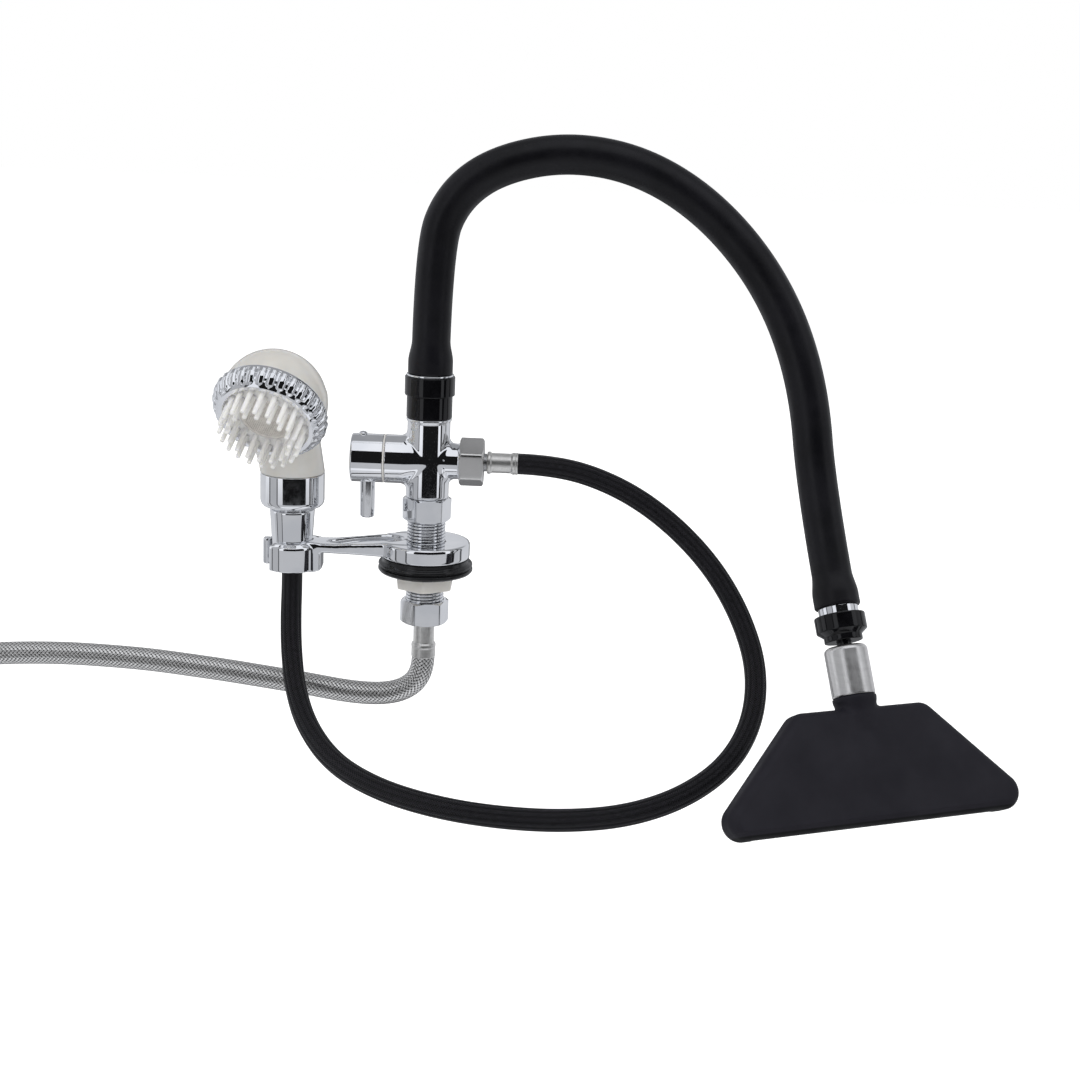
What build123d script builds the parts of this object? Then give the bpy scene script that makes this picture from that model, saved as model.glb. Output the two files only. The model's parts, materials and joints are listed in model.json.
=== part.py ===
from build123d import *
import math
import os

# Deck mounted pet bath set: a lever valve on a base plate, a flexible arm with a fan nozzle on its top,
# a hand spray with a brush face in a C shaped holder, and two braided hoses.
# Millimetres. Origin: shank axis at the deck surface. +X runs to the fan nozzle side, +Y away from the user.

# ---------------------------------------------------------------- fits
RUN = 0.2                      # radial clearance of parts that turn in each other
SNUG = 0.1                     # radial clearance of parts that are pushed together
FACE_GAP = 0.2                 # axial clearance between faces that turn on each other
CONE_GAP = 0.15                # clearance between the cone nut and its tapered seat

# ---------------------------------------------------------------- half inch pipe thread
THREAD_R = 20.955 / 2
THREAD_PITCH = 1.814
THREAD_DEPTH = 0.9
THREAD_BORE_R = THREAD_R + RUN
NUT_AF = 24.0
NUT_CHAMFER = 1.1

# ---------------------------------------------------------------- base plate
FLANGE_R = 24.3
FLANGE_Z = 8.0
FLANGE_TOP = 17.2
FLANGE_EDGE = 1.4
HOLDER_X = -74.0
HOLDER_R = 15.1
HOLDER_Z = -1.0
HOLDER_TOP = 14.8
HOLDER_BEVEL = 1.3
HOLDER_SLOT = 12.8
HOLDER_BOSS_X = -57.2
HOLDER_BOSS_WIDTH = 17.0
ARM_PLATE_Z = 9.3
ARM_PLATE_TOP = 14.4
ARM_PLATE_ROOT_WIDTH = 27.0
ARM_PLATE_WAIST_WIDTH = 21.0
ARM_RECESS_DEPTH = 1.3
ARM_RECESS_X = (-52.0, -29.0)
ARM_RECESS_WIDTH = 12.0

# ---------------------------------------------------------------- gasket, shank and back nut
GASKET_R = 26.1
GASKET_WAIST_R = 24.2
SHANK_BORE_R = 7.4
SHANK_BOTTOM = -25.0
SHANK_TOP = 35.0
BACK_NUT_AF = 30.5
BACK_NUT_TAPER = 0.6
BACK_NUT_TOP = -2.2
BACK_NUT_HEIGHT = 7.0

# ---------------------------------------------------------------- union between shank and valve
UNION_LOW = 29.0
UNION_TOP = 41.8
SEAL_THICK = 1.5
TAIL_COLLAR_R = 10.0
TAIL_COLLAR = 2.4
TAIL_NECK_R = 8.4

# ---------------------------------------------------------------- valve body
BODY_R = 11.65
BODY_LIP_R = 12.3
BODY_LIP = 1.5
BODY_TOP = 86.0
PORT_Z = 62.3
STUB_R = 13.25
STUB_X = -23.2
NECK_R = 9.75
NECK_X = 17.0
WATERWAY_R = 5.0
BALL_R = 8.5
CHAMBER_R = 9.2
SEAT_WIDTH = 2.7
SPINDLE_R = 4.0
GLAND_X = -12.0

# ---------------------------------------------------------------- lever
WASHER = 0.9
HUB_R = 13.25
HUB_X = -41.8
LEVER_X = -32.8
LEVER_R = 4.1
LEVER_Z = 29.2
SCREW_X = -35.6
SCREW_R = 2.5

# ---------------------------------------------------------------- outlet hose coupling
OUTLET_NUT_X = (17.3, 30.5)
OUTLET_THREAD_X = 26.0
STEM_R = 3.8
STEM_BORE_R = 2.8
STEM_FLANGE_R = 9.6
STEM_FLANGE = 1.1
FERRULE_X = (32.3, 49.2)
FERRULE_BEAD_R = 6.15
FERRULE_R = 5.45
HANDSET_HOSE_D = 11.7

# ---------------------------------------------------------------- inlet hose coupling
INLET_NUT_TOP = -13.8
INLET_NUT_BOTTOM = -29.5
INLET_FERRULE_TOP = -30.0
INLET_FERRULE_STEP = -41.7
INLET_FERRULE_BOTTOM = -49.8
INLET_FERRULE_R = 6.2
INLET_SKIRT_R = 6.7
SUPPLY_HOSE_D = 13.0
SUPPLY_END_BORE_R = 9.3        # minor radius of the half inch thread in the far nut
COUPLING_SEAL_R = 8.9

# ---------------------------------------------------------------- arm swivel
SPIGOT_R = 7.5
SPIGOT_TOP = 96.5
SOCKET_R = 12.4
SOCKET_TOP = 98.5
SOCKET_NECK_R = 11.0
SOCKET_CHAMBER_R = 9.9
SOCKET_FLOOR = 93.5
CLIP_Z = 94.0
CLIP = 1.2
ORING_Z = 89.5
SWIVEL_NUT_R = 13.6
SWIVEL_NUT_TOP = 109.0

# ---------------------------------------------------------------- flexible arm
SLEEVE_R = 10.35
SLEEVE_BORE_R = 6.2
SLEEVE_ROOT_R = 12.3
SLEEVE_TIP_R = 11.9
SLEEVE_FLARE = (7.5, 15.0)     # straight part and whole length of each flared end
CORE_R = 6.0
CORE_BORE_R = 4.0
BALL_GAP = 0.3                 # clearance of the ball ended joints in the sleeve
ARM_TIP = (217.2, -73.0, 9.3)
ARM_POINTS = [
    (0.0, 0.0, SWIVEL_NUT_TOP),
    (0.0, 0.0, 177.0),
    (9.5, 0.0, 204.0),
    (32.5, 0.0, 222.0),
    (71.0, -0.5, 230.5),
    (112.0, -2.0, 223.5),
    (150.0, -9.0, 200.0),
    (181.0, -21.0, 163.0),
    (199.0, -34.5, 118.0),
    (206.1, -44.6, 63.1),
    ARM_TIP,
]
ARM_SHARES = [0.45, 0.45, 0.45, 0.45, 0.45, 0.45, 0.45, 0.3, 0.3]
FLEX_LOW_SHARE = 0.54          # place of the lower flex joint along the first run
FLEX_HIGH_SHARE = 0.5          # place of the upper flex joint along the run before the last

# ---------------------------------------------------------------- nozzle joint and cap, along the nozzle axis
BAND = 4.2
BAND_R = 10.2
COLLAR_R = 13.05
COLLAR_SMALL_R = 9.85
COLLAR_STEP = (12.5, 13.5)
COLLAR_END = 18.0
STUD_R = 3.85
STUD_BORE_R = 2.0
STUD_BALL_R = 6.5
STUD_BALL_AT = 26.5
CAP_R = 11.05
CAP_FROM = 20.5
CAP_TO = 46.4
CAP_SHOULDER = 4.0
CAP_MOUTH_R = 5.6
CAP_BORE_R = 8.0

# ---------------------------------------------------------------- fan nozzle
FAN_ACROSS = (0.927, 0.374, -0.006)
FAN_TOP = 52.9
FAN_HEIGHT = 59.2
FAN_TOP_HALF = 37.5
FAN_BOTTOM_HALF = 97.0
FAN_THICK = 16.0
FAN_WALL = 3.0
FAN_CORNER = 9.4
FAN_EDGE = 4.5
FAN_BULGE_R = 11.3
FAN_MOUTH_HALF = 70.0
STRIP_RECESS = 2.5

# ---------------------------------------------------------------- hand spray, along its handle axis
CONE_NUT_TOP = 32.2
CONE_NUT_BOTTOM = 0.0
CONE_TOP_R = 12.3
CONE_SLOPE = 0.063
CUP_LOW = 33.6
CUP_TOP = 52.5
CUP_R = 17.5
CUP_WALL = 2.2
SPIGOT_THREAD_R = 9.4
SPIGOT_BOTTOM = 17.0
HANDLE_R = 17.4
HANDLE_TOP_R = 23.4
HANDLE_WALL = 3.0
HOSE_END_Z = 1.0

# ---------------------------------------------------------------- hand spray head, along the spray axis
HEAD_CENTRE = (-79.1, -35.0, 97.0)
HEAD_YAW = 13.2
HEAD_PITCH = 36.7
DOME_R = 28.0
DOME_FRONT = 6.0
RING_FROM = 2.0
RING_TO = 14.4
RING_R = 29.8
RING_TAPER_FROM = 8.2
RING_FRONT_R = 25.9
RING_BUMP_COUNT = 32
RING_BUMP_R = 1.7
RING_BUMP_OUT = 1.1            # height of the bumps above the ring's rim
RING_BUMP_TO = 10.5
RING_LIP_R = 23.1
FACE_FLANGE_R = 27.6
FACE_FLANGE_TO = 8.0
FACE_R = 24.9
FACE_FROM = 7.0
FACE_TO = 12.4
PIN_R = 1.2
PIN_LENGTH = 15.0
PIN_RINGS = [(20.8, 18), (16.7, 12)]
PLATE_R = 14.6
PLATE_THICK = 1.6
PLATE_HOLE_R = 0.55
PLATE_HOLE_STEP = 2.6

# ---------------------------------------------------------------- hose routes, chosen points
HANDSET_ROUTE = [
    (FERRULE_X[1], 0.0, PORT_Z),
    (64.0, 0.0, PORT_Z),
    (88.0, -0.6, 58.3),
    (114.0, -3.5, 47.8),
    (138.0, -8.5, 31.5),
    (159.0, -16.0, 11.0),
    (174.0, -28.0, -12.0),
    (182.0, -45.0, -35.0),
    (179.0, -67.0, -56.5),
    (165.0, -90.0, -73.0),
    (142.0, -107.0, -84.5),
    (113.0, -118.0, -91.5),
    (80.0, -121.0, -94.5),
    (46.0, -117.0, -95.5),
    (13.0, -106.5, -95.5),
    (-17.0, -91.0, -93.5),
    (-41.0, -72.0, -88.0),
    (-58.0, -50.5, -77.0),
    (-67.5, -31.0, -61.5),
    (-72.0, -15.5, -43.5),
    (-73.8, -5.0, -26.5),
    (HOLDER_X, 0.0, -12.0),
    (HOLDER_X, 0.0, HOSE_END_Z),
]
SUPPLY_ROUTE = [
    (0.0, 0.0, INLET_FERRULE_BOTTOM),
    (0.0, 0.0, -57.5),
    (-5.5, 0.4, -67.5),
    (-18.0, 1.2, -73.5),
    (-38.0, 2.4, -74.3),
    (-68.0, 4.2, -70.4),
    (-115.0, 7.0, -63.8),
    (-166.0, 10.0, -57.8),
    (-218.0, 13.0, -56.2),
    (-268.0, 16.0, -61.0),
    (-312.0, 18.5, -75.0),
    (-345.0, 20.5, -101.0),
    (-364.0, 21.5, -134.0),
    (-370.0, 22.0, -168.0),
    (-370.0, 22.0, -196.0),
]


# ---------------------------------------------------------------- helpers
def turned(points):
    """Solid turned about Z from an outline of (radius, height) points."""
    return revolve(Plane.XZ * make_face(Polyline(*points, close=True)), Axis.Z)


def ring(outer, inner, low, high):
    """Straight ring, or a disc where inner is 0, from height low to height high."""
    return turned([(inner, low), (outer, low), (outer, high), (inner, high)])


def round_ring(mean, section):
    """O-ring about Z at height 0."""
    return Torus(mean, section)


def hex_nut(across_flats, low, high, turn=0.0, chamfer=NUT_CHAMFER):
    """Hexagon prism about Z with both ends turned down to a cone."""
    corner = across_flats / math.sqrt(3)
    blank = Pos(0, 0, low) * extrude(
        RegularPolygon(corner, 6, rotation=turn), high - low
    )
    drop = chamfer * math.tan(math.radians(30))
    mask = turned([
        (0, low),
        (corner - chamfer, low),
        (corner, low + drop),
        (corner, high - drop),
        (corner - chamfer, high),
        (0, high),
    ])
    return blank & mask


def threaded_rod(radius, bore, low, high):
    """Tube with a zigzag outer face at the thread's pitch."""
    count = int((high - low) / THREAD_PITCH)
    first = low + (high - low - count * THREAD_PITCH) / 2
    points = [(bore, low), (radius - THREAD_DEPTH, low)]
    for k in range(count):
        points.append((radius - THREAD_DEPTH, first + k * THREAD_PITCH + 0.01))
        points.append((radius, first + (k + 0.5) * THREAD_PITCH))
    points.append((radius - THREAD_DEPTH, high))
    points.append((bore, high))
    return turned(points)


def along_x(shape, x=0.0, z=PORT_Z):
    """Turn a shape made about Z so that its axis runs along +X at height z."""
    return Plane(origin=(x, 0, z), x_dir=(0, 1, 0), z_dir=(1, 0, 0)) * shape


def route_radii(points, shares=None):
    """Arc radius at each inner point: its share of the shorter run over the tangent of half the turn."""
    radii = []
    for k in range(1, len(points) - 1):
        before = Vector(points[k]) - Vector(points[k - 1])
        after = Vector(points[k + 1]) - Vector(points[k])
        share = shares[k - 1] if shares else 0.45
        half_turn = math.radians(before.get_angle(after)) / 2
        radii.append(share * min(before.length, after.length) / math.tan(half_turn))
    return radii


def swept(points, radii, outer, inner=0.0):
    """Tube of one section along straight runs joined by tangent arcs, with its path length."""
    if len(points) > 2:
        path = FilletPolyline(*points, radius=radii)
    else:
        path = Line(*points)
    section = Circle(outer)
    if inner:
        section = section - Circle(inner)
    start = Plane(origin=points[0], z_dir=Vector(points[1]) - Vector(points[0]))
    return sweep(start * section, path=path), path.length


def cord(name, points, diameter):
    """Solid of a hose on its route, printed with its smallest radius and its volume check."""
    radii = route_radii(points)
    solid, length = swept(points, radii, diameter / 2)
    expected = math.pi * diameter**2 / 4 * length
    print(f"{name}: length {length:.1f}, least radius {min(radii):.1f}, "
          f"volume over section times length {solid.volume / expected:.5f}")
    print("   radii " + " ".join(f"{r:.0f}" for r in radii))
    return solid


parts = {}


# ---------------------------------------------------------------- base plate, gasket, shank, back nut
def base_plate():
    """One casting: flange, arm with a shallow recess and the C shaped holder with its tapered seat."""
    flange = ring(FLANGE_R, THREAD_BORE_R, FLANGE_Z, FLANGE_TOP)
    flange = fillet(flange.edges().filter_by(GeomType.CIRCLE).sort_by(
        lambda e: (round(e.center().Z, 3), e.radius))[-1:], FLANGE_EDGE)
    waist_x = (ARM_RECESS_X[0] + ARM_RECESS_X[1]) / 2
    half_root = ARM_PLATE_ROOT_WIDTH / 2
    half_waist = ARM_PLATE_WAIST_WIDTH / 2
    half_boss = HOLDER_BOSS_WIDTH / 2
    outline = Polyline(
        (-THREAD_R - 4.0, -half_root),
        (waist_x, -half_waist),
        (HOLDER_BOSS_X, -half_boss),
        (HOLDER_X, -half_boss),
        (HOLDER_X, half_boss),
        (HOLDER_BOSS_X, half_boss),
        (waist_x, half_waist),
        (-THREAD_R - 4.0, half_root),
        close=True,
    )
    plate = Pos(0, 0, ARM_PLATE_Z) * extrude(
        make_face(outline), ARM_PLATE_TOP - ARM_PLATE_Z
    )
    plate = fillet(plate.edges().group_by(Axis.Z)[-1], 1.0)
    boss_length = HOLDER_BOSS_X - HOLDER_X
    boss = Pos(HOLDER_X + boss_length / 2, 0, HOLDER_Z) * Box(
        boss_length, HOLDER_BOSS_WIDTH, HOLDER_TOP - HOLDER_Z,
        align=(Align.CENTER, Align.CENTER, Align.MIN),
    )
    boss = chamfer(boss.edges().group_by(Axis.Z)[-1].sort_by(Axis.X)[-1:], HOLDER_BEVEL)
    holder = Pos(HOLDER_X, 0, 0) * turned([
        (0, HOLDER_Z),
        (HOLDER_R - 0.6, HOLDER_Z),
        (HOLDER_R, HOLDER_Z + 0.6),
        (HOLDER_R, HOLDER_TOP - HOLDER_BEVEL),
        (HOLDER_R - HOLDER_BEVEL, HOLDER_TOP),
        (0, HOLDER_TOP),
    ])
    body = flange + plate + boss + holder
    recess_length = ARM_RECESS_X[1] - ARM_RECESS_X[0]
    recess = Pos(waist_x, 0, ARM_PLATE_TOP - ARM_RECESS_DEPTH) * extrude(
        SlotOverall(recess_length, ARM_RECESS_WIDTH), ARM_RECESS_DEPTH + 5
    )
    seat = Pos(HOLDER_X, 0, 0) * turned([
        (0, HOLDER_Z - 1),
        (cone_radius(HOLDER_Z - 1) + CONE_GAP, HOLDER_Z - 1),
        (cone_radius(HOLDER_TOP + 1) + CONE_GAP, HOLDER_TOP + 1),
        (0, HOLDER_TOP + 1),
    ])
    slot = Pos(HOLDER_X - HOLDER_R, 0, (HOLDER_Z + HOLDER_TOP) / 2) * Box(
        2 * HOLDER_R, HOLDER_SLOT, HOLDER_TOP - HOLDER_Z + 2
    )
    bore = ring(THREAD_BORE_R, 0, 0, FLANGE_TOP + 1)
    return body - recess - seat - slot - bore


def cone_radius(z):
    """Outer radius of the cone nut at height z."""
    return CONE_TOP_R - CONE_SLOPE * (CONE_NUT_TOP - z)


def deck_gasket():
    """Waisted rubber gasket with two lips round its foot."""
    inner = THREAD_R + 0.5
    return turned([
        (inner, 0),
        (GASKET_R - 0.9, 0),
        (GASKET_R, 0.9),
        (GASKET_R, 2.0),
        (GASKET_R - 0.9, 2.6),
        (GASKET_R - 0.9, 3.0),
        (GASKET_R - 0.1, 3.5),
        (GASKET_R - 0.3, 4.7),
        (GASKET_WAIST_R, 5.8),
        (GASKET_WAIST_R, FLANGE_Z),
        (inner, FLANGE_Z),
    ])


def back_nut():
    """Plastic hexagon nut under the deck, a little smaller at its foot."""
    bottom = BACK_NUT_TOP - BACK_NUT_HEIGHT
    top_face = Pos(0, 0, BACK_NUT_TOP) * RegularPolygon(BACK_NUT_AF / math.sqrt(3), 6, rotation=30)
    foot_af = BACK_NUT_AF - 2 * BACK_NUT_TAPER
    foot_face = Pos(0, 0, bottom) * RegularPolygon(foot_af / math.sqrt(3), 6, rotation=30)
    nut = loft([foot_face, top_face])
    nut = fillet(nut.edges().group_by(Axis.Z)[1], 1.2)
    return nut - ring(THREAD_BORE_R, 0, bottom - 1, BACK_NUT_TOP + 1)


parts["base_plate"] = base_plate()
parts["deck_gasket"] = deck_gasket()
parts["threaded_shank"] = threaded_rod(THREAD_R, SHANK_BORE_R, SHANK_BOTTOM, SHANK_TOP)
parts["back_nut"] = back_nut()

# ---------------------------------------------------------------- union nut and its seal
tail_low = SHANK_TOP + SEAL_THICK
tail_step = tail_low + TAIL_COLLAR
parts["union_seal"] = ring(TAIL_COLLAR_R, SHANK_BORE_R, SHANK_TOP, tail_low)
parts["union_nut"] = (
    hex_nut(NUT_AF, UNION_LOW, UNION_TOP, turn=10)
    - ring(THREAD_BORE_R, 0, UNION_LOW - 1, tail_step)
    - ring(TAIL_NECK_R + SNUG, 0, tail_step - 1, UNION_TOP + 1)
)


# ---------------------------------------------------------------- valve
def valve_body():
    """Cross shaped casting with a ball chamber, a tail for the union nut and a spigot for the arm."""
    barrel = turned([
        (0, tail_low),
        (TAIL_COLLAR_R, tail_low),
        (TAIL_COLLAR_R, tail_step),
        (TAIL_NECK_R, tail_step),
        (TAIL_NECK_R, UNION_TOP),
        (BODY_R - 0.8, UNION_TOP),
        (BODY_R, UNION_TOP + 0.8),
        (BODY_R, BODY_TOP - BODY_LIP),
        (BODY_LIP_R, BODY_TOP - BODY_LIP + 0.3),
        (BODY_LIP_R, BODY_TOP),
        (SPIGOT_R, BODY_TOP),
        (SPIGOT_R, SPIGOT_TOP),
        (0, SPIGOT_TOP),
    ])
    stub = along_x(turned([
        (0, STUB_X),
        (STUB_R - 0.5, STUB_X),
        (STUB_R, STUB_X + 0.5),
        (STUB_R, 0),
        (0, 0),
    ]))
    neck = along_x(ring(NECK_R, 0, 0, NECK_X))
    thread = along_x(threaded_rod(THREAD_R, WATERWAY_R, NECK_X, OUTLET_THREAD_X))
    body = barrel + stub + neck
    body = body - along_x(ring(CHAMBER_R, 0, STUB_X - 1, CHAMBER_R))
    body = body - ring(WATERWAY_R, 0, tail_low - 1, SPIGOT_TOP + 1)
    body = body - along_x(ring(WATERWAY_R - 1, 0, 0, NECK_X + 1))
    groove = ring(SPIGOT_R + 1, SPIGOT_R - 1.0, ORING_Z - 1.0, ORING_Z + 1.0)
    clip_groove = ring(SPIGOT_R + 1, SPIGOT_R - 0.7, CLIP_Z - 0.1, CLIP_Z + CLIP + 0.1)
    return body - groove - clip_groove + thread


def ball_seats():
    """Two rings with hollow faces that hold the ball, one on each side of it."""
    ball_space = Sphere(BALL_R + SNUG)
    right = ring(CHAMBER_R - SNUG, WATERWAY_R - 1, CHAMBER_R - 0.1 - SEAT_WIDTH, CHAMBER_R - 0.1)
    left = ring(CHAMBER_R - SNUG, SPINDLE_R + 1.2, -CHAMBER_R, SEAT_WIDTH - CHAMBER_R)
    return along_x(Compound(children=[right - ball_space, left - ball_space]))


def diverter_ball():
    """Ball with a cross way, an end way to the hose side and a slot for the spindle's tongue."""
    ball = Sphere(BALL_R)
    ball = ball - Cylinder(WATERWAY_R - 1, 3 * BALL_R, rotation=(90, 0, 0))
    ball = ball - ring(WATERWAY_R - 1.4, 0, 0, 2 * BALL_R)
    slot = Pos(0, 0, -BALL_R) * Box(30, 3.2, 4.4)
    return along_x(ball - slot)


def valve_spindle():
    """Spindle with a flange behind the gland and a tongue in the ball."""
    rod = ring(SPINDLE_R, 0, HUB_X + 3.3, GLAND_X + 1.6)
    flange = ring(SPINDLE_R + 1.0, 0, GLAND_X + FACE_GAP, GLAND_X + 2.2)
    tongue = Box(
        7.6, 2.9, 4.2, align=(Align.CENTER, Align.CENTER, Align.MIN)
    )
    return along_x(rod + flange + Pos(0, 0, GLAND_X + 1.4) * tongue)


gland_groove_x = (STUB_X + GLAND_X) / 2
parts["valve_body"] = valve_body()
parts["ball_seats"] = ball_seats()
parts["diverter_ball"] = diverter_ball()
parts["valve_spindle"] = valve_spindle()
parts["spindle_gland"] = along_x(
    ring(CHAMBER_R - SNUG, SPINDLE_R + SNUG, STUB_X + 0.5, GLAND_X)
    - ring(SPINDLE_R + 1.7, 0, gland_groove_x - 1.0, gland_groove_x + 1.0)
)
parts["spindle_oring"] = along_x(round_ring(SPINDLE_R + 0.87, 0.8), gland_groove_x)


# ---------------------------------------------------------------- lever
def lever_hub():
    """Round hub on the spindle's end, bored across for the lever pin and the clamp screw."""
    right = STUB_X - WASHER - FACE_GAP
    hub = along_x(turned([
        (0, HUB_X),
        (HUB_R - 1.0, HUB_X),
        (HUB_R, HUB_X + 1.0),
        (HUB_R, right - 0.6),
        (HUB_R - 0.6, right),
        (0, right),
    ]))
    hub = hub - along_x(ring(SPINDLE_R + 0.05, 0, HUB_X + 3.2, right + 1))
    pin_hole = Pos(LEVER_X, 0, 0) * ring(LEVER_R + 0.05, 0, LEVER_Z, PORT_Z - SPINDLE_R - 0.3)
    screw_hole = Pos(SCREW_X, 0, 0) * ring(SCREW_R + 0.05, 0, PORT_Z + SPINDLE_R, PORT_Z + 2 * HUB_R)
    return hub - pin_hole - screw_hole


def hub_screw():
    """Grub screw with a domed end that stands out of the hub's top."""
    low = PORT_Z + SPINDLE_R + 0.05
    top = PORT_Z + HUB_R
    stem = ring(SCREW_R, 0, low, top)
    dome = Pos(0, 0, top) * Sphere(SCREW_R)
    return Pos(SCREW_X, 0, 0) * (stem + dome)


parts["hub_washer"] = along_x(ring(STUB_R - 0.6, SPINDLE_R + SNUG, STUB_X - WASHER, STUB_X))
parts["lever_hub"] = lever_hub()
parts["lever_pin"] = Pos(LEVER_X, 0, 0) * turned([
    (0, LEVER_Z),
    (LEVER_R - 1.1, LEVER_Z),
    (LEVER_R, LEVER_Z + 1.1),
    (LEVER_R, PORT_Z - SPINDLE_R - 0.4),
    (0, PORT_Z - SPINDLE_R - 0.4),
])
parts["hub_screw"] = hub_screw()

# ---------------------------------------------------------------- outlet hose coupling, along +X
seal_x = OUTLET_THREAD_X + SEAL_THICK
flange_x = seal_x + STEM_FLANGE
parts["outlet_seal"] = along_x(ring(STEM_FLANGE_R, WATERWAY_R, OUTLET_THREAD_X, seal_x))
parts["outlet_nut"] = along_x(
    hex_nut(NUT_AF, OUTLET_NUT_X[0], OUTLET_NUT_X[1], turn=33)
    - ring(THREAD_BORE_R, 0, OUTLET_NUT_X[0] - 1, flange_x)
    - ring(STEM_R + 1.3, 0, flange_x - 1, OUTLET_NUT_X[1] + 1)
)
parts["outlet_stem"] = along_x(turned([
    (STEM_BORE_R, seal_x),
    (STEM_FLANGE_R, seal_x),
    (STEM_FLANGE_R, flange_x),
    (STEM_R + 1.1, flange_x),
    (STEM_R + 1.1, FERRULE_X[0] - 0.2),
    (STEM_R, FERRULE_X[0] - 0.2),
    (STEM_R, FERRULE_X[1] - 0.1),
    (STEM_BORE_R, FERRULE_X[1] - 0.1),
]))
parts["outlet_ferrule"] = along_x(turned([
    (STEM_R + SNUG, FERRULE_X[0]),
    (FERRULE_BEAD_R - 0.4, FERRULE_X[0]),
    (FERRULE_BEAD_R, FERRULE_X[0] + 0.4),
    (FERRULE_BEAD_R, FERRULE_X[0] + 1.4),
    (FERRULE_R, FERRULE_X[0] + 1.9),
    (FERRULE_R, FERRULE_X[1] - 3.2),
    (FERRULE_BEAD_R - 0.1, FERRULE_X[1] - 2.6),
    (FERRULE_BEAD_R - 0.1, FERRULE_X[1] - 0.4),
    (FERRULE_BEAD_R - 0.4, FERRULE_X[1]),
    (STEM_R + SNUG, FERRULE_X[1]),
]))
parts["handset_hose"] = cord("handset_hose", HANDSET_ROUTE, HANDSET_HOSE_D)


# ---------------------------------------------------------------- supply hose and its two couplings
def coupling(thread_end, turn, bore):
    """Seal, stem, nut and ferrule below the end of a thread at height thread_end, pointing down."""
    nut_top = thread_end + (INLET_NUT_TOP - SHANK_BOTTOM)
    shift = thread_end - SHANK_BOTTOM
    seal_z = thread_end - SEAL_THICK
    lip_z = seal_z - STEM_FLANGE - 0.1
    seal = ring(COUPLING_SEAL_R, STEM_BORE_R + 2, seal_z, thread_end)
    nut = (
        hex_nut(NUT_AF, INLET_NUT_BOTTOM + shift, nut_top, turn=turn)
        - ring(bore, 0, thread_end, nut_top + 1)
        - ring(COUPLING_SEAL_R + RUN, 0, lip_z, thread_end + 1)
        - ring(STEM_R + 1.9, 0, INLET_NUT_BOTTOM + shift - 1, lip_z + 1)
    )
    stem = turned([
        (STEM_BORE_R + 0.8, seal_z),
        (COUPLING_SEAL_R, seal_z),
        (COUPLING_SEAL_R, seal_z - STEM_FLANGE),
        (STEM_R + 1.0, seal_z - STEM_FLANGE),
        (STEM_R + 1.0, INLET_FERRULE_BOTTOM + shift + 0.1),
        (STEM_BORE_R + 0.8, INLET_FERRULE_BOTTOM + shift + 0.1),
    ])
    ferrule = turned([
        (STEM_R + 1.1, INLET_FERRULE_BOTTOM + shift),
        (INLET_SKIRT_R - 0.4, INLET_FERRULE_BOTTOM + shift),
        (INLET_SKIRT_R, INLET_FERRULE_BOTTOM + shift + 0.5),
        (INLET_SKIRT_R, INLET_FERRULE_STEP + shift - 0.4),
        (INLET_FERRULE_R, INLET_FERRULE_STEP + shift),
        (INLET_FERRULE_R, INLET_FERRULE_TOP + shift - 0.4),
        (INLET_FERRULE_R - 0.4, INLET_FERRULE_TOP + shift),
        (STEM_R + 1.1, INLET_FERRULE_TOP + shift),
    ])
    return seal, nut, stem, ferrule


seal, nut, stem, ferrule = coupling(SHANK_BOTTOM, 13, THREAD_BORE_R)
parts["inlet_seal"] = seal
parts["inlet_nut"] = nut
parts["inlet_stem"] = stem
parts["inlet_ferrule"] = ferrule
parts["supply_hose"] = cord("supply_hose", SUPPLY_ROUTE, SUPPLY_HOSE_D)

# the far coupling is the same set of pieces, turned over below the hose's end
far_end = Location(SUPPLY_ROUTE[-1], (180, 0, 0)) * Pos(0, 0, -INLET_FERRULE_BOTTOM)
seal, nut, stem, ferrule = coupling(SHANK_BOTTOM, 13, SUPPLY_END_BORE_R)
parts["supply_end_seal"] = far_end * seal
parts["supply_end_nut"] = far_end * nut
parts["supply_end_stem"] = far_end * stem
parts["supply_end_ferrule"] = far_end * ferrule

# ---------------------------------------------------------------- arm swivel
neck_top = SOCKET_TOP + 5.0
parts["swivel_oring"] = Pos(0, 0, ORING_Z) * round_ring(SPIGOT_R - 0.42, 0.52)
clip = ring(SPIGOT_R + 2.0, SPIGOT_R - 0.6, CLIP_Z, CLIP_Z + CLIP)
parts["swivel_clip"] = clip - Pos(0, SPIGOT_R, CLIP_Z) * Box(5, 8, 5)
parts["arm_socket"] = turned([
    (SPIGOT_R + RUN, BODY_TOP + FACE_GAP),
    (SOCKET_R - 0.3, BODY_TOP + FACE_GAP),
    (SOCKET_R, BODY_TOP + FACE_GAP + 0.3),
    (SOCKET_R, SOCKET_TOP),
    (SOCKET_NECK_R, SOCKET_TOP),
    (SOCKET_NECK_R, neck_top),
    (SOCKET_CHAMBER_R, neck_top),
    (SOCKET_CHAMBER_R, SOCKET_FLOOR),
    (SPIGOT_R + RUN, SOCKET_FLOOR),
])
nipple_top = neck_top + 1.5
core_start = SWIVEL_NUT_TOP + 14.0
parts["arm_nipple"] = turned([
    (CORE_BORE_R, SPIGOT_TOP + 0.5),
    (SOCKET_CHAMBER_R - SNUG, SPIGOT_TOP + 0.5),
    (SOCKET_CHAMBER_R - SNUG, neck_top),
    (SOCKET_NECK_R - 0.1, neck_top),
    (SOCKET_NECK_R - 0.1, nipple_top),
    (CORE_R, nipple_top),
    (CORE_R, core_start),
    (CORE_BORE_R, core_start),
])
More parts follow.
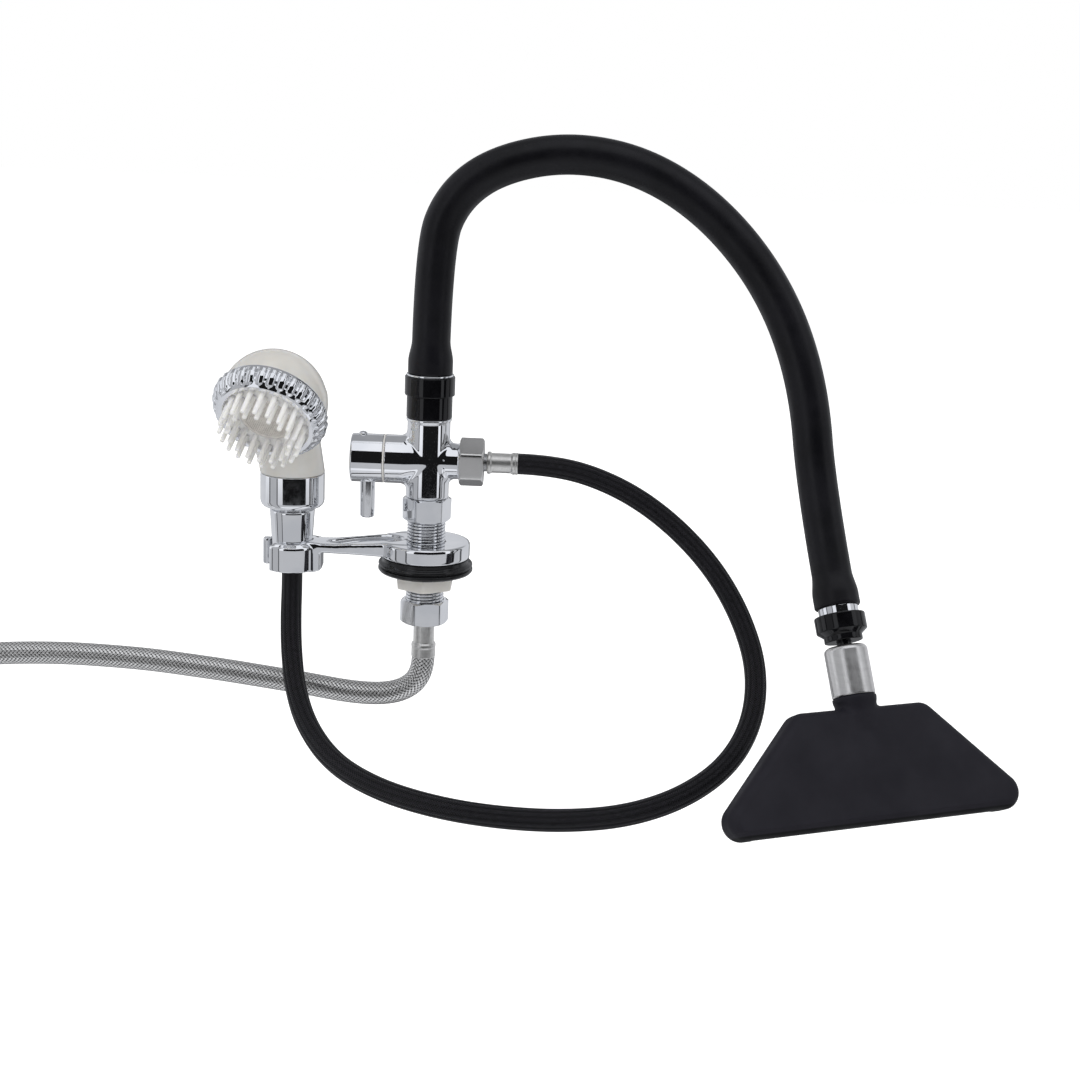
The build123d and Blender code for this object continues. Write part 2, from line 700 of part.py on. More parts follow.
parts["arm_swivel_nut"] = turned([
    (SOCKET_NECK_R + SNUG, SOCKET_TOP),
    (SWIVEL_NUT_R - 0.5, SOCKET_TOP),
    (SWIVEL_NUT_R, SOCKET_TOP + 0.5),
    (SWIVEL_NUT_R, SWIVEL_NUT_TOP - 0.8),
    (SWIVEL_NUT_R - 0.8, SWIVEL_NUT_TOP),
    (SLEEVE_ROOT_R - 0.3, SWIVEL_NUT_TOP),
    (SLEEVE_ROOT_R - 0.3, SWIVEL_NUT_TOP - 2.0),
    (SLEEVE_BORE_R + 2.0, SWIVEL_NUT_TOP - 2.0),
    (SLEEVE_BORE_R + 2.0, nipple_top),
    (SOCKET_NECK_R + SNUG, nipple_top),
])
parts["arm_lip_ring"] = ring(
    SLEEVE_ROOT_R - 0.3 - SNUG, CORE_R + SNUG, SWIVEL_NUT_TOP - 2.0, SWIVEL_NUT_TOP
)


# ---------------------------------------------------------------- flexible arm
def between(a, b, share):
    return tuple(p + (q - p) * share for p, q in zip(a, b))


def facing(origin, direction):
    """Place shapes made about Z so that +Z points along direction from origin."""
    return Plane(origin=origin, z_dir=direction)


def flare(radius):
    """Thickened end of the sleeve, from its end at height 0 upwards, sunk into the tube's wall."""
    straight, whole = SLEEVE_FLARE
    sunk = SLEEVE_R - 1.0
    return turned([
        (sunk, 0),
        (radius - 0.4, 0),
        (radius, 0.4),
        (radius, straight),
        (SLEEVE_R - 0.1, whole + 0.5),
        (sunk, whole + 0.5),
    ])


def ball_end(centre, direction, outer, inner):
    """Half ball past the joint's centre, bored like the tube that it ends."""
    half = Sphere(outer) & Box(
        4 * outer, 4 * outer, 2 * outer, align=(Align.CENTER, Align.CENTER, Align.MIN)
    )
    bored = half - Cylinder(inner, 4 * outer)
    return facing(centre, direction) * bored


tip_direction = Vector(*ARM_TIP) - Vector(*ARM_POINTS[-2])
flex_low = between(ARM_POINTS[0], ARM_POINTS[1], FLEX_LOW_SHARE)
flex_high = between(ARM_POINTS[-3], ARM_POINTS[-2], FLEX_HIGH_SHARE)
low_direction = Vector(*ARM_POINTS[1]) - Vector(*ARM_POINTS[0])
high_direction = Vector(*ARM_POINTS[-2]) - Vector(*ARM_POINTS[-3])
arm_radii = route_radii(ARM_POINTS, ARM_SHARES)
runs = [
    ([ARM_POINTS[0], flex_low], []),
    ([flex_low] + ARM_POINTS[1:-2] + [flex_high], arm_radii[:-1]),
    ([flex_high] + ARM_POINTS[-2:], arm_radii[-1:]),
]
print("arm radii " + " ".join(f"{r:.0f}" for r in arm_radii))
low_space = Pos(*flex_low) * Sphere(SLEEVE_R + BALL_GAP)
high_space = Pos(*flex_high) * Sphere(SLEEVE_R + BALL_GAP)
for node, outer, inner in (("arm_sleeve", SLEEVE_R, SLEEVE_BORE_R), ("arm_core", CORE_R, CORE_BORE_R)):
    tubes = [swept(points, radii, outer, inner)[0] for points, radii in runs]
    tubes[0] = tubes[0] + ball_end(flex_low, low_direction, outer, inner)
    tubes[1] = tubes[1] - low_space + ball_end(flex_high, high_direction, outer, inner)
    tubes[2] = tubes[2] - high_space
    for k, name in enumerate(("root", "arch", "tip")):
        parts[f"{node}_{name}"] = tubes[k]

at_root = facing(ARM_POINTS[0], low_direction)
at_tip = facing(ARM_TIP, tip_direction * -1)
parts["arm_sleeve_root"] = parts["arm_sleeve_root"] + at_root * flare(SLEEVE_ROOT_R)
parts["arm_sleeve_tip"] = parts["arm_sleeve_tip"] + at_tip * flare(SLEEVE_TIP_R)
tail = SLEEVE_FLARE[1] - 1.0
parts["arm_core_root"] = parts["arm_core_root"] - at_root * ring(2 * CORE_R, 0, -1, tail + 0.1)
parts["arm_core_tip"] = parts["arm_core_tip"] - at_tip * ring(2 * CORE_R, 0, -1, tail + 0.1)

# ---------------------------------------------------------------- nozzle joint and cap
nozzle_axis = Plane(origin=ARM_TIP, x_dir=FAN_ACROSS, z_dir=tip_direction)
collar_floor = 10.0
plug_to = collar_floor - 2.4
parts["arm_end_band"] = nozzle_axis * turned([
    (CORE_BORE_R, -tail),
    (CORE_R, -tail),
    (CORE_R, 0),
    (BAND_R, 0),
    (BAND_R, BAND),
    (CORE_R, BAND),
    (CORE_R, plug_to),
    (CORE_BORE_R, plug_to),
])
parts["nozzle_collar"] = nozzle_axis * turned([
    (CORE_R + SNUG, BAND),
    (COLLAR_R - 0.5, BAND),
    (COLLAR_R, BAND + 0.5),
    (COLLAR_R, COLLAR_STEP[0]),
    (COLLAR_SMALL_R, COLLAR_STEP[1]),
    (COLLAR_SMALL_R, COLLAR_END - 0.5),
    (COLLAR_SMALL_R - 0.5, COLLAR_END),
    (STUD_R + RUN, COLLAR_END),
    (STUD_R + RUN, collar_floor),
    (CORE_R + SNUG, collar_floor),
])
ball_at = Pos(0, 0, STUD_BALL_AT)
stud = (
    ring(CORE_R - SNUG, 0, plug_to + FACE_GAP, collar_floor - FACE_GAP)
    + ring(STUD_R, 0, collar_floor - FACE_GAP, STUD_BALL_AT)
    + ball_at * Sphere(STUD_BALL_R)
)
parts["ball_stud"] = nozzle_axis * (stud - ring(STUD_BORE_R, 0, 0, STUD_BALL_AT + STUD_BALL_R))


def nozzle_cap():
    """Brushed cap with rounded shoulders that holds the ball and takes the fan's plug."""
    shell = ring(CAP_R, 0, CAP_FROM, CAP_TO)
    rims = shell.edges().filter_by(GeomType.CIRCLE).sort_by(Axis.Z)
    shell = fillet(rims[0:1], CAP_SHOULDER)
    shell = fillet(shell.edges().filter_by(GeomType.CIRCLE).sort_by(Axis.Z)[-1:], 0.8)
    mouth = turned([
        (0, CAP_FROM - 1),
        (CAP_MOUTH_R + 0.6, CAP_FROM - 1),
        (CAP_MOUTH_R - 0.4, CAP_FROM + 3.0),
        (0, CAP_FROM + 3.0),
    ])
    bore = ring(CAP_BORE_R, 0, STUD_BALL_AT + 3.5, CAP_TO + 1)
    return shell - mouth - bore - ball_at * Sphere(STUD_BALL_R + RUN)


seat_from = STUD_BALL_AT + 3.6
plug_from = seat_from + 5.0
parts["nozzle_cap"] = nozzle_axis * nozzle_cap()
parts["ball_seal"] = nozzle_axis * (
    ring(CAP_BORE_R - SNUG, STUD_BORE_R + 1.0, seat_from, plug_from)
    - ball_at * Sphere(STUD_BALL_R + RUN)
)


# ---------------------------------------------------------------- fan nozzle
def fan_slab(inset, thick, low, high):
    """Trapezoid slab of the fan, inset from its outline, between two stations on the nozzle axis."""
    grow = (FAN_BOTTOM_HALF - FAN_TOP_HALF) / FAN_HEIGHT
    side = inset * math.sqrt(1 + grow**2)
    half_low = FAN_TOP_HALF + grow * (low - FAN_TOP) - side
    half_high = FAN_TOP_HALF + grow * (high - FAN_TOP) - side
    outline = make_face(Polyline(
        (-half_low, low), (half_low, low), (half_high, high), (-half_high, high), close=True
    ))
    outline = fillet(outline.vertices(), FAN_CORNER - min(inset, FAN_CORNER - 1))
    return Plane.XZ * Pos(0, 0, -thick / 2) * extrude(outline, thick)


def fan_nozzle():
    """Hollow rubber fan with a plug for the cap, a bulge under it and an open lower edge."""
    bottom = FAN_TOP + FAN_HEIGHT
    slab = fan_slab(0, FAN_THICK, FAN_TOP, bottom)
    slab = fillet(slab.faces().sort_by(Axis.Y)[0].edges(), FAN_EDGE)
    slab = fillet(slab.faces().sort_by(Axis.Y)[-1].edges(), FAN_EDGE)
    neck = turned([
        (0, plug_from + 0.2),
        (CAP_BORE_R - SNUG, plug_from + 0.2),
        (CAP_BORE_R - SNUG, CAP_TO),
        (FAN_BULGE_R - 0.5, CAP_TO),
        (FAN_BULGE_R, CAP_TO + 0.6),
        (FAN_BULGE_R, CAP_TO + 2.4),
        (FAN_BULGE_R - 2.0, FAN_TOP),
        (FAN_THICK / 2 - 0.5, FAN_TOP + 6),
        (0, FAN_TOP + 6),
    ])
    cavity = fan_slab(FAN_WALL, FAN_THICK - 2 * FAN_WALL, FAN_TOP + FAN_WALL, bottom - FAN_WALL)
    mouth = Pos(0, 0, bottom) * Box(
        2 * FAN_MOUTH_HALF, FAN_THICK - 3 * FAN_WALL, 4 * FAN_WALL
    )
    bore = ring(STUD_BORE_R + 1.6, 0, plug_from, FAN_TOP + 2 * FAN_WALL)
    return slab + neck - cavity - mouth - bore


def fan_strip():
    """Strip with a row of jets that closes the fan's lower edge, set back from its lips."""
    bottom = FAN_TOP + FAN_HEIGHT
    half = FAN_MOUTH_HALF - SNUG
    strip = Pos(0, 0, bottom - STRIP_RECESS) * Box(
        2 * half, FAN_THICK - 3 * FAN_WALL - 2 * SNUG, 2.4,
        align=(Align.CENTER, Align.CENTER, Align.MAX),
    )
    jets = [
        Pos(x, 0, bottom - STRIP_RECESS - 1.2) * Cylinder(1.0, 6)
        for x in (half * (k - 10) / 10.8 for k in range(21))
    ]
    return strip - Compound(children=jets)


parts["fan_nozzle"] = nozzle_axis * fan_nozzle()
parts["fan_strip"] = nozzle_axis * fan_strip()

# ---------------------------------------------------------------- hand spray: hose end and cone nut
on_handle = Pos(HOLDER_X, 0, 0)
hose_stem_top = SPIGOT_BOTTOM - SEAL_THICK
hose_lip = hose_stem_top - STEM_FLANGE
parts["cone_seal"] = on_handle * ring(SPIGOT_THREAD_R - 0.4, STEM_R, hose_stem_top, SPIGOT_BOTTOM)
parts["hose_end_stem"] = on_handle * turned([
    (STEM_BORE_R, HOSE_END_Z + 0.1),
    (STEM_R, HOSE_END_Z + 0.1),
    (STEM_R, hose_lip),
    (SPIGOT_THREAD_R - 0.5, hose_lip),
    (SPIGOT_THREAD_R - 0.5, hose_stem_top),
    (STEM_BORE_R, hose_stem_top),
])
parts["hose_end_ferrule"] = on_handle * ring(
    FERRULE_BEAD_R - 0.1, STEM_R + SNUG, HOSE_END_Z, hose_lip - 3.0
)
cone_bore = FERRULE_BEAD_R + 0.35
parts["cone_nut"] = on_handle * (turned([
    (0, CONE_NUT_BOTTOM),
    (cone_radius(CONE_NUT_BOTTOM) - 0.6, CONE_NUT_BOTTOM),
    (cone_radius(CONE_NUT_BOTTOM), CONE_NUT_BOTTOM + 0.8),
    (cone_radius(CONE_NUT_TOP - 1.2), CONE_NUT_TOP - 1.2),
    (CONE_TOP_R - 1.0, CONE_NUT_TOP),
    (0, CONE_NUT_TOP),
]) - ring(cone_bore, 0, CONE_NUT_BOTTOM - 1, hose_lip - 2.6)
    - ring(STEM_R + 0.5, 0, hose_lip - 3.0, hose_lip)
    - ring(SPIGOT_THREAD_R + SNUG, 0, hose_lip - 0.1, CONE_NUT_TOP + 1))


# ---------------------------------------------------------------- hand spray: cup, handle and dome
def handset_cup():
    """Chrome cup under the handle with the threaded spigot for the cone nut."""
    cup = turned([
        (0, CUP_LOW),
        (CUP_R, CUP_LOW),
        (CUP_R, CUP_TOP),
        (0, CUP_TOP),
    ])
    cup = fillet(cup.edges().filter_by(GeomType.CIRCLE).sort_by(Axis.Z)[0:1], 4.5)
    cup = cup + ring(SPIGOT_THREAD_R, 0, SPIGOT_BOTTOM, CUP_LOW + 1)
    cup = cup - ring(CUP_R - CUP_WALL, 0, CUP_LOW + 5.0, CUP_TOP + 1)
    return cup - ring(WATERWAY_R - 1, 0, SPIGOT_BOTTOM - 1, CUP_TOP)


parts["handset_cup"] = on_handle * handset_cup()

pitch = math.radians(HEAD_PITCH)
yaw = math.radians(HEAD_YAW)
spray = (-math.sin(yaw) * math.cos(pitch), -math.cos(yaw) * math.cos(pitch), -math.sin(pitch))
level = (math.cos(yaw), -math.sin(yaw), 0)
head = Plane(origin=HEAD_CENTRE, x_dir=level, z_dir=spray)


def handle_form(cut):
    """Handle that leans from the cup into the dome, smaller all round by cut."""
    sections = []
    middle_r = HANDLE_R + (HANDLE_TOP_R - HANDLE_R) / 4
    for share, radius, lean in ((0.0, HANDLE_R, 0.0), (0.42, middle_r, 22.0), (0.78, HANDLE_TOP_R, 40.0)):
        rise = (share, share**1.4, share)
        foot = (HOLDER_X, 0.0, CUP_TOP)
        centre = [f + (h - f) * r for f, h, r in zip(foot, HEAD_CENTRE, rise)]
        tilt = math.radians(lean)
        normal = (-math.sin(yaw) * math.sin(tilt), -math.cos(yaw) * math.sin(tilt), math.cos(tilt))
        sections.append(Plane(origin=centre, x_dir=level, z_dir=normal) * Circle(radius - cut))
    return loft(sections) + Pos(*HEAD_CENTRE) * Sphere(DOME_R - cut)


def handset_body():
    """Milky shell: plug in the cup, leaning handle and dome, open at the spray face."""
    plug_r = CUP_R - CUP_WALL - SNUG
    outer = handle_form(0) + on_handle * ring(plug_r, 0, CUP_LOW + 6.0, CUP_TOP)
    inner = handle_form(HANDLE_WALL) + on_handle * ring(
        plug_r - HANDLE_WALL, 0, CUP_LOW + 5.0, CUP_TOP + 0.5
    )
    ring_space = ring(RING_R + RING_BUMP_OUT + 0.5, DOME_R, RING_FROM - 0.3, RING_TO + 30)
    front_space = ring(DOME_R + 1, 0, DOME_FRONT, RING_TO + 30)
    return outer - head * ring_space - head * front_space - inner


def ring_blank(proud):
    """Outside form of the retaining ring, straight and then tapered to the front, larger by proud."""
    return turned([
        (0, RING_FROM),
        (RING_R + proud, RING_FROM),
        (RING_R + proud, RING_TAPER_FROM),
        (RING_FRONT_R + proud, RING_TO),
        (0, RING_TO),
    ])


def knurled_ring():
    """Retaining ring with rounded bumps round its rim and a lip over the brush face."""
    bump_from = RING_FROM + 1.2
    bumps = []
    for k in range(RING_BUMP_COUNT):
        angle = 2 * math.pi * k / RING_BUMP_COUNT
        centre_r = RING_R + RING_BUMP_OUT - RING_BUMP_R
        bump = Cylinder(
            RING_BUMP_R, RING_BUMP_TO - bump_from, align=(Align.CENTER, Align.CENTER, Align.MIN)
        )
        bumps.append(Pos(centre_r * math.cos(angle), centre_r * math.sin(angle), bump_from) * bump)
    blank = ring_blank(0)
    for bump in bumps:
        blank = blank + (bump & ring_blank(RING_BUMP_OUT))
    blank = blank - ring(DOME_R + RUN, 0, RING_FROM - 1, FACE_FLANGE_TO + RUN)
    blank = blank - ring(FACE_R + RUN, 0, RING_FROM - 1, FACE_TO + RUN)
    return blank - ring(RING_LIP_R, 0, FACE_TO, RING_TO + 1)


def brush_face():
    """Recessed face with two circles of soft pins round a hole for the spray plate."""
    face = ring(FACE_R, PLATE_R - 1.2, FACE_FROM, FACE_TO)
    face = face + ring(FACE_FLANGE_R, PLATE_R - 1.2, FACE_FROM, FACE_FLANGE_TO)
    face = face - ring(PLATE_R + SNUG, 0, FACE_TO - PLATE_THICK, FACE_TO + 1)
    for radius, count in PIN_RINGS:
        for k in range(count):
            angle = 2 * math.pi * (k + 0.5) / count
            pin = turned([
                (0, FACE_TO - 0.5),
                (PIN_R + 0.2, FACE_TO - 0.5),
                (PIN_R, FACE_TO + PIN_LENGTH - 1.0),
                (0.6, FACE_TO + PIN_LENGTH),
                (0, FACE_TO + PIN_LENGTH),
            ])
            face = face + Pos(radius * math.cos(angle), radius * math.sin(angle), 0) * pin
    return face


def spray_plate():
    """Thin plate with a honeycomb of jets."""
    plate = ring(PLATE_R, 0, FACE_TO - PLATE_THICK, FACE_TO)
    holes = []
    rows = int(PLATE_R / (PLATE_HOLE_STEP * 0.866))
    for row in range(-rows, rows + 1):
        y = row * PLATE_HOLE_STEP * math.sqrt(3) / 2
        for column in range(-rows - 1, rows + 2):
            x = (column + 0.5 * (row % 2)) * PLATE_HOLE_STEP
            if math.hypot(x, y) < PLATE_R - 2.2:
                holes.append(Pos(x, y, FACE_TO - 1) * Cylinder(PLATE_HOLE_R, 6))
    return plate - Compound(children=holes)


parts["handset_body"] = handset_body()
parts["knurled_ring"] = head * knurled_ring()
parts["face_seal"] = head * ring(DOME_R - 0.9, DOME_R - 3.6, DOME_FRONT + 0.05, FACE_FROM)
parts["brush_face"] = head * brush_face()
parts["spray_plate"] = head * spray_plate()

# ---------------------------------------------------------------- export
os.makedirs("parts", exist_ok=True)
for node, shape in parts.items():
    export_step(shape, f"parts/{node}.step")
print(f"{len(parts)} nodes")
print("flex joints", [tuple(round(c, 2) for c in p) for p in (flex_low, flex_high)])
ball_centre = nozzle_axis.from_local_coords((0, 0, STUD_BALL_AT))
print("nozzle axis", tuple(round(c, 5) for c in nozzle_axis.z_dir), "ball centre", ball_centre)
print("spray axis", tuple(round(c, 5) for c in spray))
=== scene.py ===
"""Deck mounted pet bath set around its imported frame: chrome castings, nuts and rings, a rubber arm
and fan, a milky hand spray with soft pins, two braided hoses, and a plain white studio.

Sizes in this file are millimetres, and every mesh is written out in metres."""
import json
import math

import bmesh
import bpy
import numpy as np
from mathutils import Matrix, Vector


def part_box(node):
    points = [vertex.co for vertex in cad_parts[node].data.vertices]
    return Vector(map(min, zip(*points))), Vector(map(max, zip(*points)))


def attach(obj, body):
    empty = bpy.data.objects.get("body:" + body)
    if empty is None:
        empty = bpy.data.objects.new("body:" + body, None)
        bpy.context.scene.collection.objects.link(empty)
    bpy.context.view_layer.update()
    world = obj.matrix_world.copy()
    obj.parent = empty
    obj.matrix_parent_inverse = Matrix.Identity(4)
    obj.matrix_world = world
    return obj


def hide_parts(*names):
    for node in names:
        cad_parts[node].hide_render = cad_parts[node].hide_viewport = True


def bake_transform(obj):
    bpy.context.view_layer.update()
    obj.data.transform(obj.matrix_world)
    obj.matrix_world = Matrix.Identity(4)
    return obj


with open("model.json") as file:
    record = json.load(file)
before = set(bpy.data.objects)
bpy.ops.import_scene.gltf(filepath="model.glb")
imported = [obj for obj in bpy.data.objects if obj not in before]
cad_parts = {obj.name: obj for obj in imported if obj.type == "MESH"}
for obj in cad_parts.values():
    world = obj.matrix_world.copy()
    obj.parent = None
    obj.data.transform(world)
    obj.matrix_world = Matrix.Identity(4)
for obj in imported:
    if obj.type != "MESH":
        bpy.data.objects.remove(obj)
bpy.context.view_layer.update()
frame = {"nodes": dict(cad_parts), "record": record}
MM = 0.001
joints = {joint["name"]: joint for joint in frame["record"]["behaviour"]["joints"]}
X, Y, Z = np.eye(3)


def low(node):
    """Lowest corner of a frame node in millimetres."""
    return np.array(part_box(node)[0]) / MM


def high(node):
    """Highest corner of a frame node in millimetres."""
    return np.array(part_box(node)[1]) / MM


def span(node, axis=2):
    """Lowest and highest of a node along one axis."""
    return low(node)[axis], high(node)[axis]


# ---------------------------------------------------------------- studio
CAMERA_AT = (62.9, -950.9, 262.3)
CAMERA_DOWN = 14.3                # degrees below level
CAMERA_ROLL = 2.39                # degrees, the right side lowered in the picture
CAMERA_LENS = 59.23               # on a 36 mm wide sensor


def add_camera():
    """Camera that looks along +Y, tilted down and rolled: columns right, up and back."""
    down, roll = math.radians(CAMERA_DOWN), math.radians(CAMERA_ROLL)
    ahead = np.array([0, math.cos(down), -math.sin(down)])
    level_up = np.cross(X, ahead)
    right = X * math.cos(roll) + level_up * math.sin(roll)
    up = level_up * math.cos(roll) - X * math.sin(roll)
    camera = bpy.data.objects.new("Camera", bpy.data.cameras.new("Camera"))
    bpy.context.collection.objects.link(camera)
    camera.data.lens = CAMERA_LENS
    camera.data.sensor_width = 36
    camera.data.clip_end = 50
    placed = np.eye(4)
    placed[:3, :3] = np.stack([right, up, -ahead], axis=1)
    placed[:3, 3] = np.array(CAMERA_AT) * MM
    camera.matrix_world = Matrix(placed.tolist())
    bpy.context.scene.camera = camera


# ---------------------------------------------------------------- places
class Place:
    """Where a piece made about Z stands: origin, and its X, Y and Z directions."""

    def __init__(self, origin=(0, 0, 0), z=(0, 0, 1), x=None):
        self.origin = np.array(origin, float)
        self.z = np.array(z, float) / np.linalg.norm(z)
        guess = np.array(x if x is not None else (X if abs(self.z[0]) < 0.9 else Y), float)
        guess = guess - guess @ self.z * self.z
        self.x = guess / np.linalg.norm(guess)
        self.y = np.cross(self.z, self.x)

    def put(self, points):
        points = np.asarray(points, float)
        return self.origin + points @ np.stack([self.x, self.y, self.z])

    def local(self, points):
        return (np.asarray(points) - self.origin) @ np.stack([self.x, self.y, self.z]).T


UPRIGHT = Place()
ALONG_X = Place((0, 0, joints["valve_lever"]["pos_m"][2] / MM), X, Y)
nozzle_centre = np.array(joints["nozzle_turn"]["pos_m"]) / MM
nozzle_down = np.array(joints["nozzle_turn"]["axis"])
fan_across = np.array(joints["nozzle_tilt"]["axis"])
BALL_STATION = 26.5               # from the arm's end to the ball's centre
NOZZLE = Place(nozzle_centre - nozzle_down * BALL_STATION, nozzle_down, fan_across)
spray_out = np.array(joints["brush_ring_turn"]["axis"])
HEAD = Place(np.array(joints["brush_ring_turn"]["pos_m"]) / MM, spray_out, np.cross(spray_out, Z))
HANDLE = Place((joints["handset_turn"]["pos_m"][0] / MM, 0, 0))


# ---------------------------------------------------------------- shader maths
class Value:
    """A node's output socket that can be added, multiplied and so on, each step a Math node."""

    def __init__(self, tree, socket):
        self.tree = tree
        self.socket = socket

    def step(self, operation, *others):
        return self.tree.node("ShaderNodeMath", {"operation": operation}, *((self,) + others))

    def __rsub__(self, other):
        return self.tree.node("ShaderNodeMath", {"operation": "SUBTRACT"}, other, self)

    def __neg__(self):
        return self * -1.0

    def between(self, start, stop, result_start=0.0, result_stop=1.0):
        """Smooth step from result_start at start to result_stop at stop."""
        return self.tree.node(
            "ShaderNodeMapRange",
            {"interpolation_type": "SMOOTHSTEP"},
            self, start, stop, result_start, result_stop,
        )


def math_method(operation):
    return lambda value, *others: value.step(operation, *others)


for method, operation in {
    "__add__": "ADD", "__radd__": "ADD", "__mul__": "MULTIPLY", "__rmul__": "MULTIPLY",
    "__sub__": "SUBTRACT", "__truediv__": "DIVIDE", "floor": "FLOOR", "fraction": "FRACT",
    "remainder": "FLOORED_MODULO", "absolute": "ABSOLUTE", "sine": "SINE", "power": "POWER",
    "most": "MAXIMUM",
}.items():
    setattr(Value, method, math_method(operation))


class Tree:
    """Node tree of a material or world."""

    def __init__(self, owner):
        owner.use_nodes = True
        self.tree = owner.node_tree
        self.tree.nodes.clear()

    def fill(self, socket, value):
        """A socket's input: a link from another node's output, or a constant."""
        if isinstance(value, Value):
            self.tree.links.new(value.socket, socket)
        elif value is not None:
            socket.default_value = value

    def node(self, kind, settings, *inputs, **named):
        """A node: its settings first, then its sockets in order or by name; gives its first output."""
        made = self.tree.nodes.new(kind)
        for key, value in settings.items():
            setattr(made, key, value)
        pairs = list(zip(made.inputs, inputs))
        pairs += [(made.inputs[key.replace("_", " ")], value) for key, value in named.items()]
        for socket, value in pairs:
            self.fill(socket, value)
        return Value(self, made.outputs[0]) if made.outputs else None

    def output(self, value, name):
        """Another output socket of the node that a value came from."""
        return Value(self, value.socket.node.outputs[name])

    def place(self):
        return self.output(self.node("ShaderNodeTexCoord", {}), "Object")

    def uv(self):
        return self.node("ShaderNodeUVMap", {"uv_map": "Weave"})

    def parts(self, vector):
        """The three numbers of a vector."""
        first = self.node("ShaderNodeSeparateXYZ", {}, vector)
        return first, self.output(first, "Y"), self.output(first, "Z")

    def noise(self, scale, detail=2.0, rough=0.5, vector=None, stretch=None):
        where = vector or self.place()
        if stretch:
            where = self.node("ShaderNodeMapping", {}, where, Scale=stretch)
        return self.node(
            "ShaderNodeTexNoise", {}, Vector=where, Scale=scale, Detail=detail, Roughness=rough
        )

    def mix(self, factor, first, second):
        """Colour between two colours."""
        made = self.tree.nodes.new("ShaderNodeMix")
        made.data_type = "RGBA"
        for place, value in ((0, factor), (6, first), (7, second)):
            self.fill(made.inputs[place], value)
        return Value(self, made.outputs[2])

    def bump(self, height, strength, distance):
        return self.node(
            "ShaderNodeBump", {}, Strength=strength, Distance=distance, Height=height
        )


def rgb(red, green, blue):
    return (red, green, blue, 1.0)


def finish(name, base, roughness, metallic=0.0, normal=None, **sockets):
    """Material with one Principled shader; base, roughness and normal may be functions of its tree."""
    material = bpy.data.materials.new(name)
    tree = Tree(material)
    values = [value(tree) if callable(value) else value for value in (base, roughness, normal)]
    shader = tree.node(
        "ShaderNodeBsdfPrincipled", {},
        **{"Base_Color": values[0], "Roughness": values[1], "Normal": values[2], "Metallic": metallic},
        **sockets,
    )
    tree.node("ShaderNodeOutputMaterial", {}, shader)
    return material


def spread(first, second, scale, low_at=0.35, high_at=0.65, **noise):
    """Colour or number that wanders between two values with noise of the given scale per metre."""
    def made(tree):
        share = tree.noise(scale, **noise).between(low_at, high_at)
        if isinstance(first, tuple):
            return tree.mix(share, first, second)
        return share * (second - first) + first
    return made


def grain(scale, strength, distance, **noise):
    """Fine bump of noise."""
    return lambda tree: tree.bump(tree.noise(scale, **noise), strength, distance)


chrome = finish(
    "polished_chrome", spread(rgb(0.80, 0.81, 0.83), rgb(0.87, 0.875, 0.885), 60.0),
    spread(0.03, 0.055, 260.0, detail=4.0), metallic=1.0,
)


def thread_colour_with_root_shade(tree):
    """Plating with a painted shade in the thread's roots: brighter with sqrt(x^2 + y^2) from 9.5 to 10.3."""
    x, y, _ = tree.parts(tree.place())
    out = (x * x + y * y).power(0.5)
    # rgb(0.16, 0.17, 0.19) is a painted shade in the roots; the crests keep the plating's own colour.
    return tree.mix(out.between(9.5 * MM, 10.3 * MM), rgb(0.16, 0.17, 0.19), rgb(0.86, 0.87, 0.89))


thread_plate = finish(
    "plated_thread", thread_colour_with_root_shade,
    spread(0.07, 0.14, 500.0, detail=4.0), metallic=1.0,
    normal=grain(900.0, 0.03, 0.00002, detail=3.0),
)
nickel = finish(
    "satin_nickel", spread(rgb(0.68, 0.67, 0.65), rgb(0.73, 0.72, 0.70), 40.0),
    spread(0.24, 0.28, 60.0, detail=3.0), metallic=1.0,
    normal=grain(200.0, 0.01, 0.00001, detail=1.0),
)
crimp_nickel = finish(
    "dull_nickel", spread(rgb(0.76, 0.75, 0.72), rgb(0.84, 0.83, 0.80), 500.0, detail=3.0),
    spread(0.34, 0.42, 60.0, detail=3.0), metallic=1.0, normal=grain(900.0, 0.05, 0.00003, detail=2.0),
)
stainless = finish(
    "brushed_stainless",
    spread(rgb(0.72, 0.71, 0.695), rgb(0.77, 0.76, 0.745), 1.0, stretch=(90.0, 90.0, 500.0)),
    spread(0.29, 0.34, 1.0, detail=2.0, stretch=(60.0, 60.0, 400.0)), metallic=1.0,
)
gloss_black = finish(
    "gloss_black_plastic", spread(rgb(0.0022, 0.0022, 0.0027), rgb(0.0045, 0.0045, 0.0055), 90.0),
    spread(0.06, 0.11, 350.0, detail=4.0), normal=grain(200.0, 0.01, 0.00004), Specular_IOR_Level=0.34,
)
arm_rubber = finish(
    "matte_arm_rubber",
    spread(rgb(0.0026, 0.0025, 0.0038), rgb(0.0052, 0.0050, 0.0072), 40.0, detail=5.0),
    spread(0.36, 0.44, 150.0, detail=4.0), normal=grain(2600.0, 0.12, 0.00005, detail=4.0),
    Specular_IOR_Level=0.26,
)
FAN_TOP = 52.9                    # the fan's upper edge, from the arm's end along the nozzle
FAN_HEIGHT = 59.2
FAN_FOOT = FAN_TOP + FAN_HEIGHT


def fan_station(tree):
    """Place along the nozzle's axis from the arm's end, in millimetres: (p - origin) . axis."""
    dot = tree.node("ShaderNodeVectorMath", {"operation": "DOT_PRODUCT"}, tree.place(), tuple(NOZZLE.z))
    return tree.output(dot, "Value") * (1 / MM) - NOZZLE.origin @ NOZZLE.z


